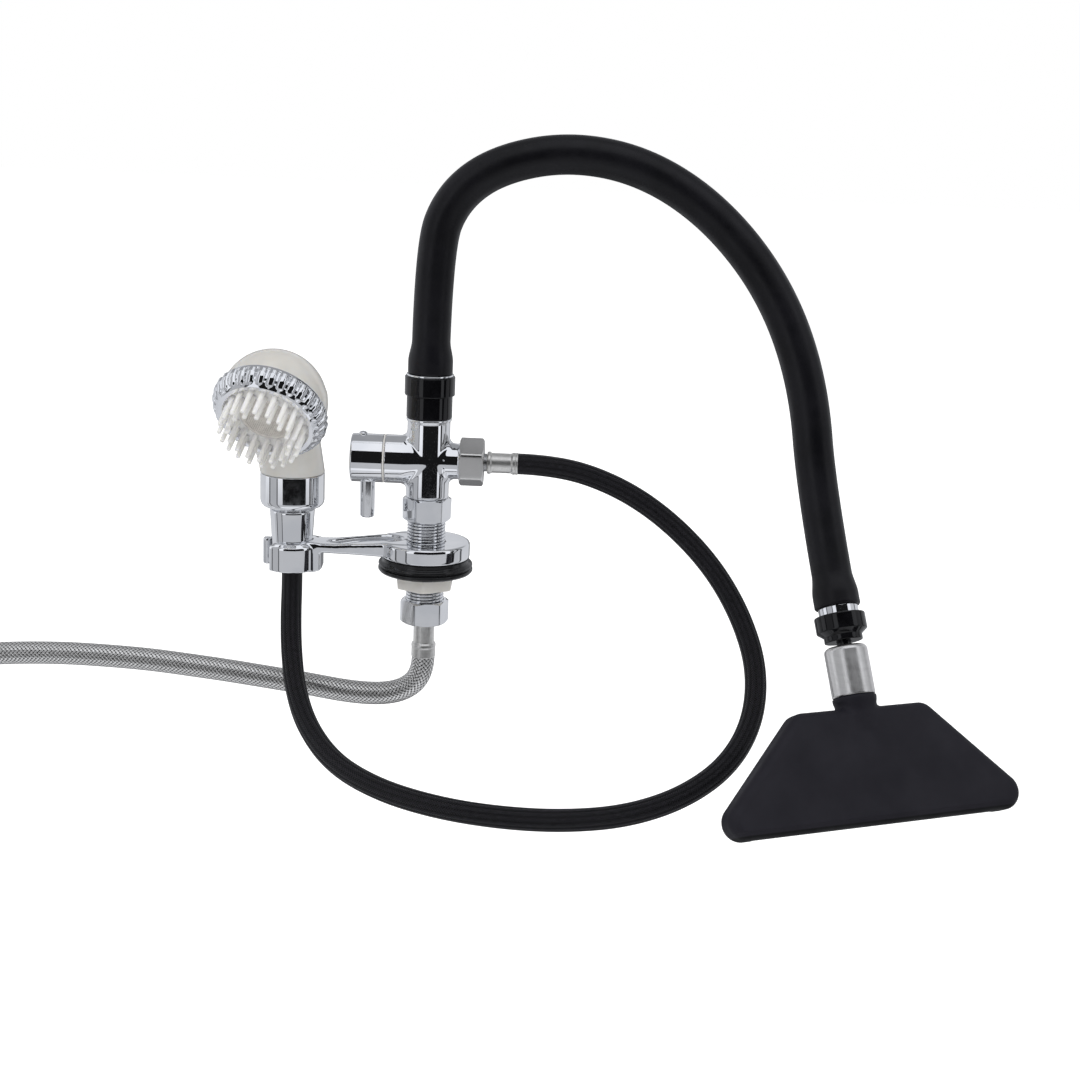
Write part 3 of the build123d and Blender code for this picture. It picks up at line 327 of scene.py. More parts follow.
def fan_colour(tree):
    """Charcoal rubber with soft clouds, blacker below the lip line at the foot."""
    cloud = tree.noise(26.0, detail=6.0).between(0.3, 0.7)
    body = tree.mix(cloud, rgb(0.0115, 0.0110, 0.0155), rgb(0.0175, 0.0168, 0.0225))
    foot = fan_station(tree).between(FAN_FOOT - 2.6, FAN_FOOT - 1.8)
    return tree.mix(foot, body, rgb(0.0022, 0.0022, 0.0028))


def fan_relief(tree):
    """Fine rubber grain, and the shallow step of the lip line."""
    line = fan_station(tree).between(FAN_FOOT - 4.4, FAN_FOOT - 3.4)
    return tree.bump(tree.noise(1900.0, detail=5.0) * 0.06 - line, 0.6, 0.0006)


fan_rubber = finish(
    "charcoal_fan_rubber", fan_colour, spread(0.46, 0.58, 90.0, detail=5.0), normal=fan_relief,
    Specular_IOR_Level=0.15,
)
seal_rubber = finish(
    "black_seal_rubber",
    spread(rgb(0.0030, 0.0030, 0.0034), rgb(0.0062, 0.0062, 0.0070), 120.0, detail=4.0),
    spread(0.20, 0.28, 200.0, detail=4.0), normal=grain(700.0, 0.05, 0.00004, detail=4.0),
    Specular_IOR_Level=0.5,
)
nut_plastic = finish(
    "warm_white_plastic", spread(rgb(0.70, 0.68, 0.65), rgb(0.78, 0.765, 0.735), 70.0, detail=4.0),
    spread(0.38, 0.50, 200.0, detail=4.0), normal=grain(1200.0, 0.18, 0.00008, detail=4.0),
    Subsurface_Weight=0.15, Subsurface_Radius=(0.004, 0.004, 0.003), Subsurface_Scale=0.5,
)
milky = finish(
    "milky_plastic", spread(rgb(0.66, 0.635, 0.595), rgb(0.73, 0.71, 0.675), 30.0, detail=3.0),
    spread(0.16, 0.26, 160.0, detail=4.0), normal=grain(300.0, 0.03, 0.0001, detail=2.0),
    Subsurface_Weight=0.55, Subsurface_Radius=(0.006, 0.005, 0.004), Subsurface_Scale=1.0,
    Coat_Weight=0.35, Coat_Roughness=0.06,
)
soft_white = finish(
    "soft_white_pins", spread(rgb(0.88, 0.87, 0.85), rgb(0.94, 0.935, 0.92), 120.0, detail=4.0),
    spread(0.26, 0.38, 300.0, detail=4.0), normal=grain(1200.0, 0.10, 0.00006, detail=3.0),
    Subsurface_Weight=0.5, Subsurface_Radius=(0.003, 0.003, 0.0025), Subsurface_Scale=1.0,
)
mesh_metal = finish(
    "spray_mesh", spread(rgb(0.66, 0.63, 0.59), rgb(0.78, 0.75, 0.71), 300.0, detail=4.0),
    spread(0.34, 0.48, 400.0, detail=3.0), metallic=0.1, normal=grain(2000.0, 0.2, 0.00004),
)
brass = finish(
    "machined_brass", spread(rgb(0.70, 0.53, 0.27), rgb(0.80, 0.63, 0.36), 150.0),
    spread(0.20, 0.32, 600.0, detail=4.0), metallic=1.0, normal=grain(1500.0, 0.12, 0.00004),
)
steel = finish(
    "plain_steel", spread(rgb(0.42, 0.42, 0.42), rgb(0.56, 0.56, 0.56), 150.0),
    spread(0.26, 0.38, 600.0, detail=4.0), metallic=1.0, normal=grain(1500.0, 0.12, 0.00004),
)


# ---------------------------------------------------------------- woven finishes on a hose's own map
def weave(tree, carriers, picks):
    """Two families of slanting strands on the hose's map, which counts turns round and along it.

    a = u * carriers + v * picks and b = u * carriers - v * picks; strand a lies on top where the floor of
    a plus the floor of b, over two, is even. Gives the place across the strand on top and along it."""
    around, along, _ = tree.parts(tree.uv())
    a = around * carriers + along * picks
    b = around * carriers - along * picks
    on_top = ((a.floor() + b.floor()) * 0.5).floor().remainder(2.0)
    across = (a.fraction() - 0.5) * on_top + (b.fraction() - 0.5) * (1 - on_top)
    lengthwise = (b.fraction() - 0.5) * on_top + (a.fraction() - 0.5) * (1 - on_top)
    return across, lengthwise


def woven(name, carriers, picks, wires, dark, mid, bright, roughness, metallic, strength, distance,
          ridges=0, **sockets):
    """Material of a braided sleeve: crowned strands of fine wires, whose colour falls from lit to dark with
    their height, a painted shade down their sides and in the gaps between them.

    Ridges along the hose darken it between them by |cos(pi * ridges * u + wind * v)|, a painted shade in the
    valleys between the ridges."""
    def height(tree):
        across, lengthwise = weave(tree, carriers, picks)
        crown = 1 - across.absolute().power(2.0) * (lengthwise.absolute() * 4.4 + 2.0)
        wire = (across * (2 * math.pi * wires)).sine() * 0.10
        return crown * (1 - lengthwise.absolute() * 0.35) + wire

    def colour(tree):
        body = height(tree)
        streak = tree.noise(1.0, detail=2.0, vector=tree.uv(), stretch=(carriers * 5.0, picks * 0.6, 1.0))
        # Painted shade: the colour darkens as the strand's crown falls away into the gaps.
        share = body.between(0.2, 1.0)
        # Painted shade in the valleys between the hose's ridges.
        if ridges:
            around, along, _ = tree.parts(tree.uv())
            arch = (around * (math.pi * ridges) + along * BLACK_WIND + math.pi / 2).sine().absolute()
            share = share * (arch.power(1.5) * 0.6 + 0.4)
        lit = tree.mix(streak.between(0.35, 0.7), mid, bright)
        return tree.mix(share, dark, lit)

    def rough(tree):
        return height(tree).between(0.2, 1.0) * (roughness[1] - roughness[0]) + roughness[0]

    def relief(tree):
        return tree.bump(height(tree), strength, distance)

    return finish(name, colour, rough, metallic=metallic, normal=relief, **sockets)


STEEL_CARRIERS = 17
STEEL_PICK = 2.35                 # length of one strand step along the hose
BLACK_CARRIERS = 22
BLACK_PICK = 1.45
BLACK_RIDGES = 13
BLACK_WIND = BLACK_PICK / 70.0    # how far the ridges wind in each pick
# In each braid the first colour is the painted shade of the strands' sides and gaps; the other two are the
# strands' own tone.
steel_braid = woven(
    "steel_wire_braid", STEEL_CARRIERS, 1.0, 3, rgb(0.02, 0.02, 0.02), rgb(0.80, 0.79, 0.77),
    rgb(0.99, 0.985, 0.97), (0.45, 0.20), 0.9, 0.9, 0.00022,
)
black_braid = woven(
    "black_yarn_braid", BLACK_CARRIERS, 1.0, 3, rgb(0.0004, 0.0004, 0.0006), rgb(0.0060, 0.0058, 0.0075),
    rgb(0.030, 0.029, 0.036), (0.44, 0.26), 0.0, 1.0, 0.00025,
    ridges=BLACK_RIDGES, Specular_IOR_Level=0.21,
)


# ---------------------------------------------------------------- meshes
def add_piece(name, points, faces, material, body=None, stands_for=(), slot=None, sharp=38.0, uv=None):
    """Mesh object at the origin from points in millimetres: doubles merged, faces outward, rims sharp."""
    mesh = bpy.data.meshes.new(name)
    mesh.from_pydata((np.asarray(points, float) * MM).tolist(), [], np.asarray(faces).tolist())
    if uv is not None:
        layer = mesh.uv_layers.new(name="Weave")
        layer.data.foreach_set("uv", np.asarray(uv, np.float32).ravel())
    work = bmesh.new()
    work.from_mesh(mesh)
    bmesh.ops.remove_doubles(work, verts=work.verts, dist=2e-7)
    bmesh.ops.dissolve_degenerate(work, edges=work.edges, dist=1e-8)
    bmesh.ops.recalc_face_normals(work, faces=work.faces)
    work.to_mesh(mesh)
    work.free()
    mesh.polygons.foreach_set("use_smooth", np.ones(len(mesh.polygons), bool))
    if sharp:
        mesh.set_sharp_from_angle(angle=math.radians(sharp))
    mesh.materials.append(material)
    piece = bpy.data.objects.new(name, mesh)
    bpy.context.collection.objects.link(piece)
    if stands_for:
        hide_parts(*stands_for)
        body = body or body_of[stands_for[0]]
        slot = slot or slot_of[stands_for[0]]
    if body:
        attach(piece, body)
    return piece


body_of = {node: body for body, nodes in frame["record"]["behaviour"]["bodies"].items() for node in nodes}
slot_of = {part["node"]: part["material_slot"] for part in frame["record"]["subparts"]}


def grid_faces(rows, columns, wrap_rows=True, wrap_columns=True):
    """Quads of a grid of points, closed round either way."""
    r = np.arange(rows if wrap_rows else rows - 1)[:, None]
    c = np.arange(columns if wrap_columns else columns - 1)[None, :]
    corners = [(r, c), (r, c + 1), (r + 1, c + 1), (r + 1, c)]
    return np.stack([(i % rows) * columns + j % columns for i, j in corners], axis=-1).reshape(-1, 4)


ROUND = 160                       # columns of a turned piece


def turn_angles(columns):
    """Angles of even steps round one turn."""
    return np.arange(columns) * 2 * math.pi / columns


def spin(r, z, t):
    """Points (r cos t, r sin t, z)."""
    return np.stack(np.broadcast_arrays(r * np.cos(t), r * np.sin(t), z), axis=-1)


def spin_path(path, columns):
    """Points of a closed outline of (radius, height) turned about Z, and its faces."""
    points = spin(path[:, :1], path[:, 1:], turn_angles(columns))
    return points.reshape(-1, 3), grid_faces(len(path), columns)


def ease(share):
    """Smooth step: 3 w^2 - 2 w^3 of the share held between 0 and 1."""
    share = np.clip(share, 0, 1)
    return share * share * (3 - 2 * share)


def rounded(outline, steps=5):
    """Closed outline of (radius, height, rounding) corners, each rounded by an arc.

    An arc touches both sides at rounding / tan(half the corner's angle) from the corner, and a point up to
    0.15 beyond each of its ends keeps the flat faces beside it flat in their shading too."""
    corners = np.array([corner[:2] for corner in outline], float)
    result = []
    for k, corner in enumerate(corners):
        size = outline[k][2] if len(outline[k]) > 2 else 0.0
        if size <= 0:
            result.append(corner[None])
            continue
        back = corners[k - 1] - corner
        ahead = corners[(k + 1) % len(corners)] - corner
        back_room, ahead_room = np.linalg.norm(back), np.linalg.norm(ahead)
        back, ahead = back / back_room, ahead / ahead_room
        half = math.acos(np.clip(back @ ahead, -1, 1)) / 2
        reach = min(size / math.tan(half), 0.49 * back_room, 0.49 * ahead_room)
        radius = reach * math.tan(half)
        middle = corner + (back + ahead) / np.linalg.norm(back + ahead) * radius / math.sin(half)
        start, stop = corner + back * reach - middle, corner + ahead * reach - middle
        share = np.linspace(0, 1, steps + 1)[:, None]
        turn = math.pi - 2 * half
        arc = (np.sin((1 - share) * turn) * start + np.sin(share * turn) * stop) / math.sin(turn)
        before = corner + back * min(reach + 0.15, 0.5 * back_room)
        after = corner + ahead * min(reach + 0.15, 0.5 * ahead_room)
        result.append(np.concatenate([before[None], middle + arc, after[None]]))
    return np.concatenate(result)


def turned(name, outline, place, material, stands_for, shape=None, columns=ROUND, **kept):
    """Piece turned about its place's Z: point = (r cos t, r sin t, z) for each (r, z) of the outline.

    shape(r, z, t) may change the radius round the turn."""
    path = rounded(outline)
    t = turn_angles(columns)
    r = np.repeat(path[:, :1], columns, axis=1)
    z = np.repeat(path[:, 1:], columns, axis=1)
    if shape:
        r, z = shape(r, z, t[None, :])
    points = spin(r, z, t).reshape(-1, 3)
    faces = grid_faces(len(path), columns)
    return add_piece(name, place.put(points), faces, material, stands_for=stands_for, **kept)


def hexagon(across_flats, t, turn, power=32.0):
    """Radius of a hexagon with softened corners: a / (sum of max(cos(t - t_k), 0)^p)^(1/p).

    turn is the angle of one corner in degrees."""
    sides = np.radians(turn + 30) + np.arange(6) * math.pi / 3
    facing = np.maximum(np.cos(t[..., None] - sides), 0) ** power
    return across_flats / 2 / facing.sum(-1) ** (1 / power)


def hex_nut(name, across_flats, bottom, top, bore, turn, place, material, stands_for,
            drop=None, lip=None, taper=0.0, chamfer=2.0):
    """Hexagon nut whose flats end in arches: along each side z runs between the two end cones.

    The cone at an end starts at radius corner - chamfer and opens by tan 30 degrees."""
    columns = 288
    t = turn_angles(columns)
    side = hexagon(across_flats, t, turn)
    foot = hexagon(across_flats - 2 * taper, t, turn)
    cone = across_flats / math.sqrt(3) - chamfer
    slope = math.tan(math.radians(30))
    low_rim, high_rim = np.minimum(foot, cone - taper), np.minimum(side, cone)
    low_arch = bottom + np.maximum(foot - cone + taper, 0) * slope
    high_arch = top - np.maximum(side - cone, 0) * slope
    bore_low = drop if drop is not None else bore
    step = lip if lip is not None else (bottom + top) / 2
    share = np.linspace(0, 1, 14)[:, None]
    rows = [(bore_low, bottom), (low_rim, bottom)]
    rows += [(foot + (side - foot) * s, low_arch + (high_arch - low_arch) * s) for s in share]
    rows += [(high_rim, top), (bore, top), (bore, step), (bore_low, step)]
    r, z = (np.stack([np.broadcast_to(row[k], columns) for row in rows]) for k in (0, 1))
    points = spin(r, z, t).reshape(-1, 3)
    faces = grid_faces(len(rows), columns)
    return add_piece(name, place.put(points), faces, material, stands_for=stands_for, sharp=24.0)


# ---------------------------------------------------------------- level surfaces for cast pieces
def soft_union(a, b, reach):
    """Lower of two fields with a fillet: min(a, b) - h^2 * reach / 4, h = max(reach - |a - b|, 0) / reach."""
    h = np.maximum(reach - np.abs(a - b), 0) / reach
    return np.minimum(a, b) - h * h * reach / 4


def soft_overlap(a, b, reach):
    """Higher of two fields with a rounded edge, the mirror of soft_union."""
    return -soft_union(-a, -b, reach)


def bar(across, along, radius, start, stop, edge):
    """Field of a round bar: the higher of the distance past its side and past its ends, rounded."""
    return soft_overlap(across - radius, np.maximum(start - along, along - stop), edge)


def level_mesh(field, lowest, highest, step):
    """Points and quads on the zero level of a field.

    Each grid cell that the level crosses has one point, and each grid edge that it crosses has the quad of
    its four cells. Points are evened out with their neighbours and slid to the level: p - f g / |g|^2."""
    lowest, highest = np.array(lowest, float), np.array(highest, float)
    counts = np.ceil((highest - lowest) / step).astype(int) + 1
    axes = [lowest[k] + step * np.arange(counts[k]) for k in range(3)]
    inside = field(*np.meshgrid(*axes, indexing="ij")) < 0
    corners = sum(
        inside[i:i + counts[0] - 1, j:j + counts[1] - 1, k:k + counts[2] - 1].astype(np.int8)
        for i in (0, 1) for j in (0, 1) for k in (0, 1)
    )
    crossed = (corners > 0) & (corners < 8)
    number = np.full(crossed.shape, -1)
    number[crossed] = np.arange(crossed.sum())
    points = lowest + (np.argwhere(crossed) + 0.5) * step
    quads = []
    for axis in range(3):
        first = np.moveaxis(inside, axis, 0)
        changes = first[:-1] != first[1:]
        leaving = first[:-1] & ~first[1:]
        at = np.argwhere(changes[:, 1:-1, 1:-1])
        leaves = leaving[:, 1:-1, 1:-1][tuple(at.T)]
        cells = np.moveaxis(number, axis, 0)
        i, j, k = at[:, 0], at[:, 1], at[:, 2]
        ring = [cells[i, j, k], cells[i, j + 1, k], cells[i, j + 1, k + 1], cells[i, j, k + 1]]
        ring = np.stack(ring, axis=1)
        quads.append(np.where(leaves[:, None], ring, ring[:, ::-1]))
    quads = np.concatenate(quads)
    nudge = 0.02
    pairs = np.concatenate([quads[:, [k, (k + 1) % 4]] for k in range(4)])
    degree = np.bincount(pairs[:, 0], minlength=len(points)) + np.bincount(pairs[:, 1], minlength=len(points))
    for turn in range(9):
        if turn < 6:
            total = np.zeros_like(points)
            for k in range(3):
                total[:, k] = np.bincount(pairs[:, 0], points[pairs[:, 1], k], len(points))
                total[:, k] += np.bincount(pairs[:, 1], points[pairs[:, 0], k], len(points))
            points = points * 0.5 + total / degree[:, None] * 0.5
        value = field(*points.T)
        slope = np.stack([
            (field(*(points + nudge * way).T) - field(*(points - nudge * way).T)) / (2 * nudge)
            for way in np.eye(3)
        ], axis=1)
        move = -value[:, None] * slope / np.maximum((slope ** 2).sum(1), 0.25)[:, None]
        points = points + np.clip(move, -step, step)
    return points, quads


def cast(name, field, lowest, highest, step, material, stands_for, place=UPRIGHT, sharp=None):
    """Piece whose skin is the zero level of a field(x, y, z) in its own place."""
    points, quads = level_mesh(field, lowest, highest, step)
    return add_piece(name, place.put(points), quads, material, stands_for=stands_for, sharp=sharp)


# ---------------------------------------------------------------- base plate, gasket, shank, nuts
FLANGE_R = 24.3
FLANGE_Z = 8.0
FLANGE_TOP = 17.2
THREAD_R = 20.955 / 2
THREAD_PITCH = 1.814
NUT_FLATS = 24.0                  # across the flats of the metal nuts
TAIL_TOP = 38.9                   # where the union nut holds the valve's tail
HOLDER_X = HANDLE.origin[0]
HOLDER_R = 15.5
HOLDER_Z = -1.0
HOLDER_TOP = 14.8
SLOT_HALF = 8.0
SLOT_TURN = math.radians(11)      # the slot opens to the left, turned this far to the front
PLATE_Z = 9.3
PLATE_TOP = 14.4


def base_field(x, y, z):
    """Disc, tapering arm, boss and ring joined with fillets; recess, seat, slot and bore taken away."""
    flange = bar(np.hypot(x, y), z, FLANGE_R, FLANGE_Z, FLANGE_TOP, 1.8)
    half = np.interp(x, [HOLDER_X, -57.2, -40.5, -22.0, -14.0], [8.3, 8.5, 9.6, 12.2, 13.6])
    rise = np.interp(x, [HOLDER_X, -50.0, -22.0], [0.0, 0.3, FLANGE_TOP - PLATE_TOP])
    arm = soft_overlap(np.abs(y) - half, np.maximum(PLATE_Z - z, z - PLATE_TOP - rise), 1.8)
    arm = np.maximum(arm, np.maximum(HOLDER_X - x, x + 10))
    boss = soft_overlap(np.abs(y) - 8.5, x + 57.4 + np.maximum(z - 13.2, 0), 2.0)
    boss = soft_overlap(boss, np.maximum(HOLDER_Z - z, z - HOLDER_TOP), 1.0)
    boss = np.maximum(boss, HOLDER_X - x)
    across = np.hypot(x - HOLDER_X, y)
    bevel = (across - HOLDER_R + z - HOLDER_TOP + 2.2) * 0.7071
    holder = soft_overlap(bar(across, z, HOLDER_R, HOLDER_Z, HOLDER_TOP, 0.8), bevel, 0.5)
    prong = bar(np.hypot(x - HOLDER_X + 14.4, y - 4.6), z, 2.4, HOLDER_Z, HOLDER_TOP - 0.6, 1.4)
    body = soft_union(soft_union(flange, arm, 1.6), soft_union(boss, holder, 2.2), 1.2)
    well_half = np.interp(x, [-54, -42, -26, -14], [6.2, 8.2, 9.9, 10.4])
    well = (np.hypot((x + 33) / 21, y / well_half) - 1) * 8.0
    well = soft_overlap(well, PLATE_TOP + rise - 1.9 - z, 1.6)
    seat = across - (12.3 - 0.063 * (32.2 - z)) - 0.15
    out_x, out_y = math.cos(SLOT_TURN), math.sin(SLOT_TURN)
    slot = np.abs((x - HOLDER_X) * out_y - y * out_x) - SLOT_HALF
    slot = np.maximum(slot, (x - HOLDER_X) * out_x + y * out_y)
    bore = np.hypot(x, y) - THREAD_R - 0.2
    body = soft_overlap(body, -well, 0.7)
    body = soft_overlap(body, -seat, 0.5)
    body = soft_union(soft_overlap(body, -slot, 0.9), soft_overlap(prong, -seat, 0.5), 0.6)
    return soft_overlap(body, -bore, 0.5)


def base_and_shank():
    cast(
        "base_casting", base_field, (HOLDER_X - 18.5, -26, -3), (26, 26, 20), 0.45, chrome, ["base_plate"],
        sharp=50.0,
    )
    inner = THREAD_R + 0.5
    turned("deck_gasket_ring", [
        (inner, 0), (25.2, 0, 0.5), (26.1, 1.1, 0.5), (26.1, 2.2, 0.5), (24.9, 2.9, 0.2), (24.9, 3.2, 0.2),
        (26.0, 3.9, 0.4), (25.9, 4.9, 0.6), (24.0, 5.9, 0.8), (24.0, FLANGE_Z - 0.02, 0.2),
        (inner, FLANGE_Z - 0.02),
    ], UPRIGHT, seal_rubber, ["deck_gasket"], columns=200)
    bottom, top = span("threaded_shank")

    def helix(r, z, t):
        """Thread: the crest is flat, and the radius falls by 0.95 * (2.2 |2 f - 1| - 1.1).

        f is the turn's fraction, and the groove fades over 1.2 mm at both ends."""
        fraction = (z / THREAD_PITCH - t / (2 * math.pi)) % 1.0
        groove = np.clip(np.abs(2 * fraction - 1) * 2.2 - 1.1, 0, 1) * 0.95
        fade = np.clip(np.minimum(z - bottom, top - z) / 1.2, 0, 1)
        side = r > 9.0
        return np.where(side, r - np.where(fade < 1, 0.95 - (0.95 - groove) * fade, groove), r), z

    levels = np.arange(bottom, top + 0.01, THREAD_PITCH / 9)
    outline = [(7.4, bottom)] + [(THREAD_R, level) for level in levels] + [(7.4, top)]
    turned("shank_thread", outline, UPRIGHT, thread_plate, ["threaded_shank"], shape=helix,
           columns=144, sharp=70.0)
    hex_nut("union_hexagon", NUT_FLATS, *span("union_nut"), 8.5, 10, UPRIGHT, chrome,
            ["union_nut"], drop=THREAD_R + 0.2, lip=TAIL_TOP, taper=0.18)
    hex_nut("back_nut_hexagon", 30.5, *span("back_nut"), THREAD_R + 0.2, 30, UPRIGHT,
            nut_plastic, ["back_nut"], taper=0.6, chamfer=0.7)


base_and_shank()


# ---------------------------------------------------------------- valve and lever
PORT_Z = ALONG_X.origin[2]
BODY_R = 11.65
BODY_TOP = 86.0
STUB_R = 13.25
STUB_X = -23.2
NECK_R = 9.75
BARREL_FOOT = 41.8
SPIGOT_TOP = 96.5
NECK_END = 17.0
THREAD_END = 26.0


def valve_field(x, y, z):
    """Upright barrel, left stub and right neck blended into one casting, with its ways bored out.

    The stub narrows to the barrel's radius. The fillets reach 4 mm where the round skins meet square, and
    fade by 1 - y^2 / (r1 r2) where they run alike."""
    out = np.hypot(x, y)
    side = np.hypot(y, z - PORT_Z)
    barrel = bar(out, z, BODY_R, BARREL_FOOT, BODY_TOP - 0.4, 1.2)
    lip = bar(out, z, 12.3, BODY_TOP - 1.5, BODY_TOP, 0.6)
    tail = bar(out, z, 8.4, TAIL_TOP, BARREL_FOOT + 1.2, 0.3)
    tail = np.minimum(tail, bar(out, z, 10.0, TAIL_TOP - 2.4, TAIL_TOP, 0.4))
    spigot = bar(out, z, 7.5, BODY_TOP - 2, SPIGOT_TOP, 0.4)
    stub_r = STUB_R + (BODY_R - STUB_R) * ease((x + 13.5) / 10.0)
    stub = bar(side, x, stub_r, STUB_X, 0.0, 0.1)
    neck = bar(side, x, NECK_R, 0, NECK_END, 0.4)
    thread = bar(side, x, THREAD_R - 0.3, NECK_END - 0.1, THREAD_END, 0.4)
    reach = 0.1 + 4.0 * np.clip(1 - y * y / np.maximum(out * side, 1e-6), 0, 1)
    body = soft_union(barrel, stub, reach)
    body = soft_union(body, neck, reach)
    body = soft_union(body, lip, 0.8)
    body = np.minimum(np.minimum(body, thread), np.minimum(tail, spigot))
    chamber = np.maximum(side - 9.2, x - 9.2)
    way = np.minimum(out - 5.0, np.maximum(side - 4.0, -x))
    groove = np.maximum(6.5 - out, np.minimum(np.abs(z - 89.5) - 1.0, np.abs(z - 94.6) - 0.7))
    return np.maximum(body, -np.minimum(np.minimum(chamber, way), groove))


def valve_and_lever():
    cast("valve_casting", valve_field, (STUB_X - 1, -14.5, 35.5), (27, 14.5, 97.5), 0.5, chrome,
         ["valve_body"], sharp=50.0)
    hub_x = span("lever_hub", 0)
    turned("lever_hub_turning", [
        (0, hub_x[0]), (STUB_R, hub_x[0], 1.1), (STUB_R, hub_x[1]), (4.05, hub_x[1]),
        (4.05, hub_x[0] + 3.3), (0, hub_x[0] + 3.3),
    ], ALONG_X, chrome, ["lever_hub"], columns=200)
    pin = Place((joints["valve_lever"]["pos_m"][0] / MM, 0, 0))
    foot, head = span("lever_pin")
    turned("lever_pin_turning", [
        (0, foot), (3.95, foot, 1.4), (4.15, head, 0.2), (0, head),
    ], pin, chrome, ["lever_pin"])
    screw_low, screw_high = low("hub_screw"), high("hub_screw")
    screw = Place(((screw_low[0] + screw_high[0]) / 2, 0, 0))
    dome = np.radians(np.linspace(2, 90, 9))
    turned("hub_screw_dome", [(0, screw_low[2]), (2.5, screw_low[2], 0.2)] + [
        (2.5 * math.cos(a), screw_high[2] - 2.6 + 1.7 * math.sin(a)) for a in dome
    ], screw, chrome, ["hub_screw"], columns=64)
    washer = span("hub_washer", 0)
    turned("hub_seam_ring", [
        (4.1, washer[0]), (STUB_R - 0.04, washer[0]), (STUB_R - 0.04, washer[1]), (4.1, washer[1]),
    ], ALONG_X, nut_plastic, ["hub_washer"])


valve_and_lever()


# ---------------------------------------------------------------- hose couplings
def outlet_coupling():
    hex_nut("outlet_hexagon", NUT_FLATS, *span("outlet_nut", 0), 5.1, 33, ALONG_X, nickel, ["outlet_nut"],
            drop=THREAD_R + 0.2, lip=28.6)
    a, b = span("outlet_ferrule", 0)
    turned("outlet_ferrule_crimp", [
        (3.9, a), (5.9, a, 0.5), (6.15, a + 0.8, 0.4), (6.15, a + 1.7, 0.5), (5.45, a + 2.6, 0.9),
        (5.45, b - 3.8, 0.9), (6.05, b - 2.9, 0.5), (6.05, b - 1.7, 0.3), (5.75, b - 1.4, 0.2),
        (6.05, b - 1.1, 0.2), (6.05, b, 0.5), (3.9, b),
    ], ALONG_X, crimp_nickel, ["outlet_ferrule"])


def supply_coupling(prefix, place, top, bore, turn, lower=0.0):
    """Hexagon and crimped ferrule, hanging down from the nut's mouth at height top in their own place.

    The mouth's rim may be lower, which bares more of the thread in it."""
    hex_nut(f"{prefix}_hexagon", NUT_FLATS, top - 15.7, top - lower, bore, turn, place, chrome,
            [f"{prefix}_nut"], drop=5.7, lip=top - 13.9)
    skirt, step, foot = top - 16.2, top - 28.2, top - 36.0
    turned(f"{prefix}_ferrule_crimp", [
        (4.9, foot), (6.75, foot, 0.4), (6.65, step - 2.6, 0.3), (6.85, step - 1.5, 0.7),
        (6.75, step - 0.3, 0.6), (5.8, step + 0.8, 0.7), (5.8, skirt, 0.4), (4.9, skirt),
    ], place, crimp_nickel, [f"{prefix}_ferrule"])


outlet_coupling()
supply_coupling("inlet", UPRIGHT, high("inlet_nut")[2], THREAD_R + 0.2, 13, lower=2.6)
far_mouth = low("supply_end_nut")
far_middle = (low("supply_end_nut") + high("supply_end_nut")) / 2
supply_coupling(
    "supply_end", Place((far_middle[0], far_middle[1], far_mouth[2]), -Z, X), 0.0, 9.3, 13,
)


# ---------------------------------------------------------------- arm swivel, nozzle joint and cap
LIP_PROUD = 1.1                   # how far the bright ring stands out of the swivel collar


def swivel_collars():
    base, top = span("arm_socket")
    shelf, rim = span("arm_swivel_nut")
    turned("socket_collar", [
        (7.7, base), (12.4, base, 0.4), (12.4, shelf - 0.05, 0.3), (11.0, shelf - 0.05), (11.0, top),
        (9.9, top), (9.9, 93.5), (7.7, 93.5),
    ], UPRIGHT, gloss_black, ["arm_socket"], columns=200)
    turned("swivel_collar", [
        (11.1, shelf), (13.6, shelf, 0.5), (13.6, rim, 0.9), (12.05, rim, 0.2), (12.05, rim - 2.0),
        (8.2, rim - 2.0), (8.2, 105.0), (11.1, 105.0),
    ], UPRIGHT, gloss_black, ["arm_swivel_nut"], columns=200)
    turned("bright_lip_ring", [
        (6.15, rim - 2.0), (11.9, rim - 2.0), (11.9, rim + 0.05), (12.75, rim + 0.05, 0.3),
        (12.75, rim + LIP_PROUD, 0.4), (6.15, rim + LIP_PROUD),
    ], UPRIGHT, chrome, ["arm_lip_ring"])


